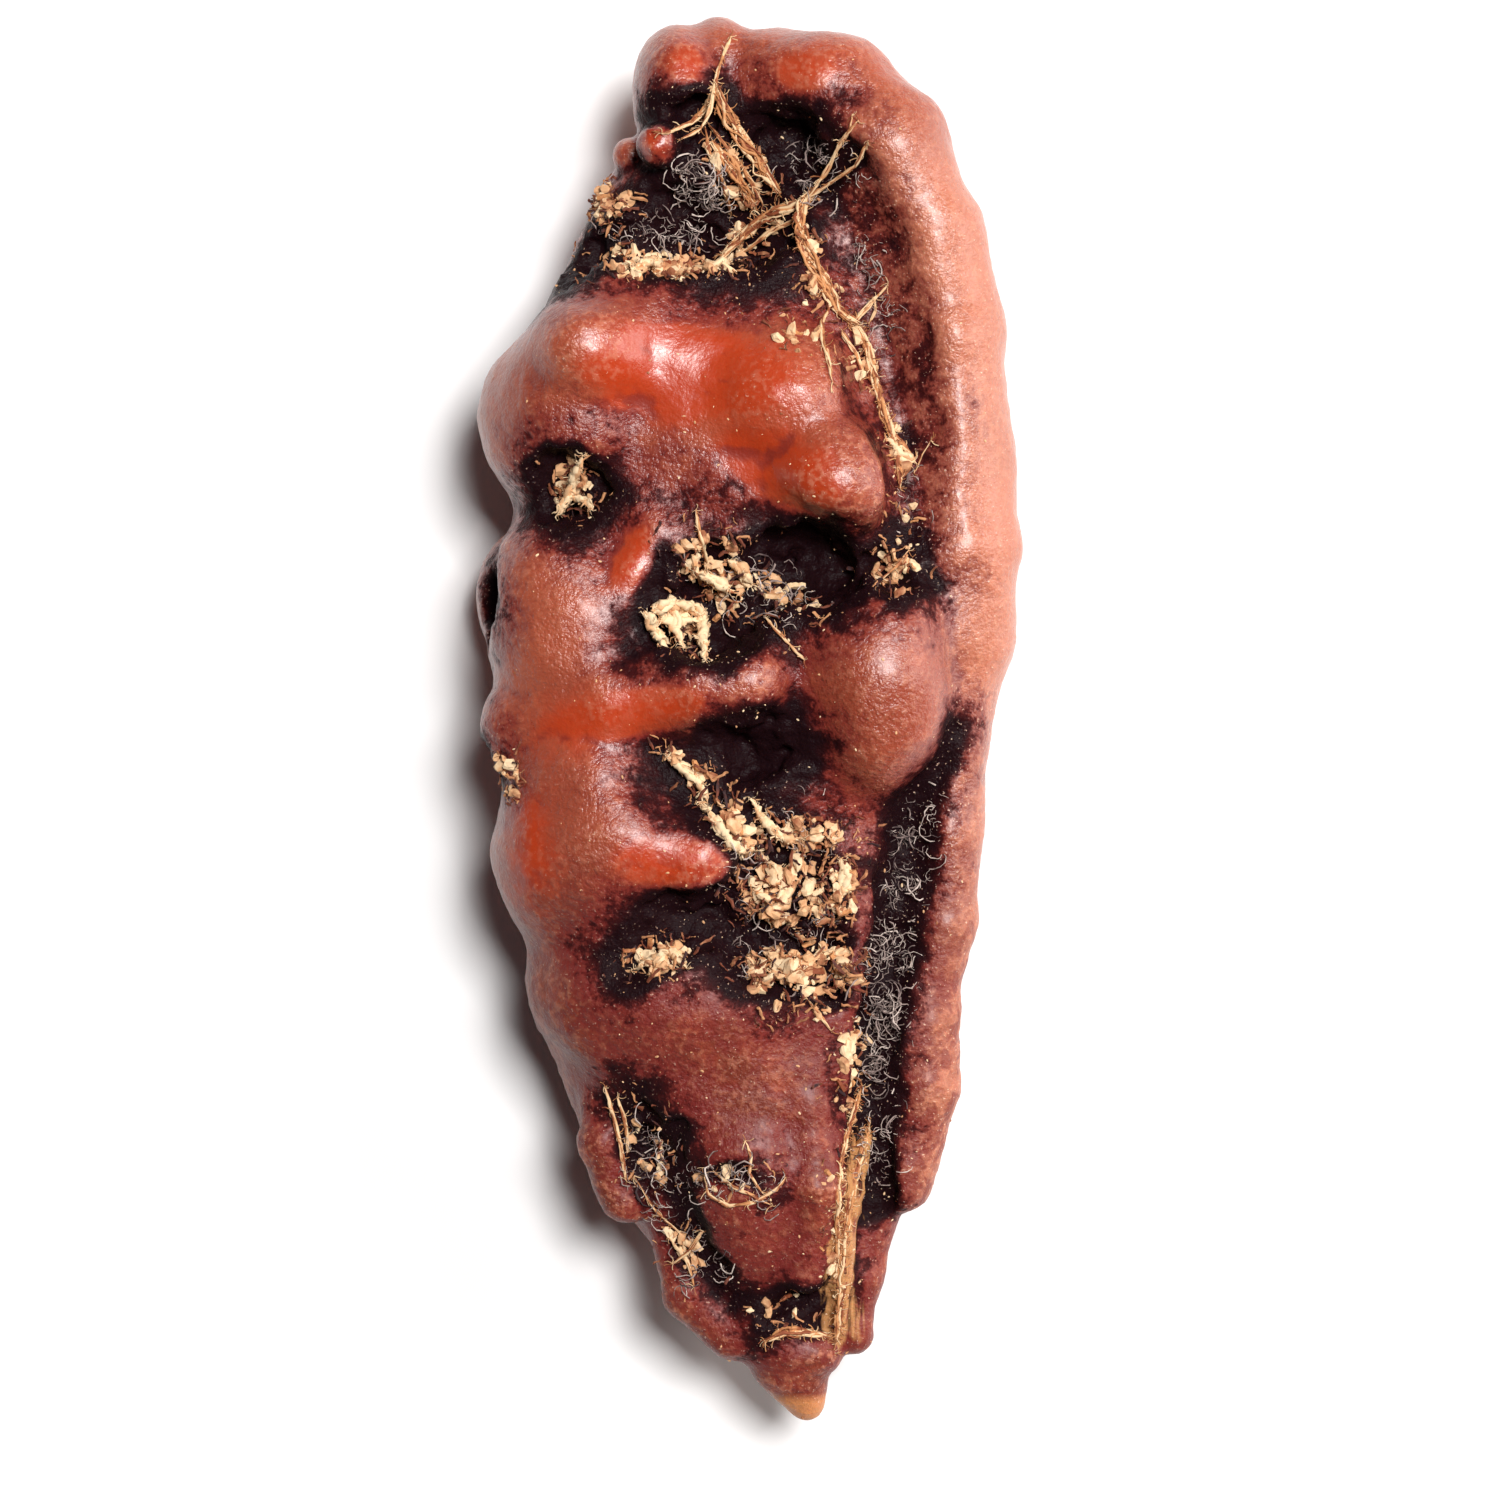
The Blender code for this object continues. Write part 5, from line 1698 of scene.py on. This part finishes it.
# Where pale dust lies on the skin.
SKIN_PATCHES = {
    "upper": Patch((-0.5, 10.0), (12.0, 26.0), 0.0, 0.5, 0.0),
    "lower": Patch((1.0, -16.0), (10.0, 20.0), 0.0, 0.9, 0.0),
    "crumbs": Patch((1.8, -9.0), (5.0, 6.0), 0.0, 2.4, 0.0),
    "middle": Patch((0.0, 5.0), (5.5, 4.5), 0.0, 1.6, 0.0),
    "rim": Patch((0.0, 20.4), (7.0, 2.0), 0.0, 2.4, 0.0),
    "vein": Patch((5.0, -25.0), (1.8, 8.0), 2.0, 3.0, 0.0),
}

LOOSE_BITS = (
    LooseBits(
        "pith_chips", BitShape.CHIP, CRUMB_PATCHES, PITH_FINISH,
        density=12.0, least=0.25, most=1.05, tilt=40.0, ragged=0.16, spill=1.0, seed=3,
    ),
    LooseBits(
        "pith_splinters", BitShape.SPLINTER, CRUMB_PATCHES, STRAW_FINISH,
        density=2.0, least=0.5, most=1.6, tilt=32.0, ragged=0.12, spill=1.1, seed=5,
    ),
    LooseBits(
        "pith_shreds", BitShape.SHRED, CRUMB_PATCHES, SHRED_FINISH,
        density=9.0, least=0.4, most=1.5, tilt=38.0, ragged=0.12, spill=1.6, seed=13,
    ),
    LooseBits(
        "groove_hair", BitShape.HAIR, HAIR_PATCHES, HAIR_FINISH,
        density=24.0, least=0.5, most=1.8, tilt=60.0, ragged=0.12, spill=1.0, seed=7,
    ),
    LooseBits(
        "pith_dust", BitShape.GRAIN, SKIN_PATCHES, PITH_FINISH,
        density=1.2, least=0.06, most=0.26, tilt=30.0, ragged=0.02, spill=1.0, seed=11,
    ),
)


@dataclass(frozen=True)
class SoftBox:
    """A square soft light that faces the frame's origin.

    Attributes:
        name: The light's name.
        place: Where it hangs, in metres.
        size: Its side, in metres.
        power: Its power in watts.
        colour: Its colour.
    """

    name: str
    place: Point
    size: float
    power: float
    colour: str


SOFT_BOXES = (
    SoftBox("overhead", (0.12, 0.115, 0.53), 0.15, 3.5, "#fffefd"),
    SoftBox("side", (0.46, 0.08, 0.2), 0.3, 1.4, "#fffaf5"),
)


@dataclass(frozen=True)
class Studio:
    """The table, the lights and the camera.

    Attributes:
        view_width: Width of what the camera sees, in metres.
        view_height: Height at which that width is measured.
        view_centre: Where the camera hangs, across and along.
        lens: The camera's focal length, in millimetres.
        sensor: The width of its sensor, in millimetres.
        room_colour: Colour of the pale room.
        room_strength: How brightly the room glows.
        table_reach: Half the table's side, in metres.
    """

    view_width: float = 0.0744
    view_height: float = 0.009
    view_centre: Spot = (0.0002, -0.0015)
    lens: float = 100.0
    sensor: float = 36.0
    room_colour: str = "#f4f6fa"
    room_strength: float = 0.035
    table_reach: float = 1.5

    def build(self) -> None:
        """Makes all of it."""
        self._table()
        self._lights()
        self._camera()

    def _table(self) -> None:
        """A plain pale table top, which isn't part of the object."""
        mesh = bpy.data.meshes.new("table_top")
        body = bmesh.new()
        bmesh.ops.create_grid(body, x_segments=1, y_segments=1, size=self.table_reach)
        body.to_mesh(mesh)
        body.free()
        mesh.materials.append(TableFinish().material())
        table = bpy.data.objects.new("table_top", mesh)
        bpy.context.scene.collection.objects.link(table)

    def _lights(self) -> None:
        """A soft box overhead and to the right, a weaker one on the right, and a pale room."""
        for box in SOFT_BOXES:
            light = bpy.data.lights.new(box.name, "AREA")
            light.size = box.size
            light.energy = box.power
            light.color = linear(box.colour)[:3]
            lamp = bpy.data.objects.new(box.name, light)
            lamp.location = box.place
            lamp.rotation_euler = (-Vector(box.place)).to_track_quat("-Z", "Y").to_euler()
            bpy.context.scene.collection.objects.link(lamp)
        world = bpy.data.worlds.new("pale_room")
        world.use_nodes = True
        ground = world.node_tree.nodes["Background"]
        ground.inputs["Color"].default_value = linear(self.room_colour)
        ground.inputs["Strength"].default_value = self.room_strength
        bpy.context.scene.world = world
        bpy.context.scene.view_settings.view_transform = "Standard"

    def _camera(self) -> None:
        """A camera straight above the pod."""
        data = bpy.data.cameras.new("camera")
        data.lens = self.lens
        data.sensor_width = self.sensor
        camera = bpy.data.objects.new("camera", data)
        distance = self.view_width * self.lens / self.sensor
        camera.location = (*self.view_centre, self.view_height + distance)
        bpy.context.scene.collection.objects.link(camera)
        bpy.context.scene.camera = camera


def finish_piece(piece: bpy.types.Object) -> None:
    """Lets a finished piece ride on the pod's body and reports it.

    Args:
        piece: The piece, in place.
    """
    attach(piece, BODY)
    LOG.info("%s: %d faces", piece.name, len(piece.data.polygons))


def main() -> None:
    """Builds the pod around the frame."""
    logging.basicConfig(level=logging.INFO, format="%(message)s")
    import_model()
    pulp, placement = PodPulp().build()
    finish_piece(pulp)
    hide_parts(NODE)
    LOG.info("scale %.6f, shift %s", placement.scale, placement.shift)
    surface = PulpSurface(pulp, placement)
    for strands in SPLIT_STRANDS:
        finish_piece(strands.build(surface))
    for bits in LOOSE_BITS:
        finish_piece(bits.build(pulp, placement))
    Studio().build()


if __name__ == "__main__":
    main()
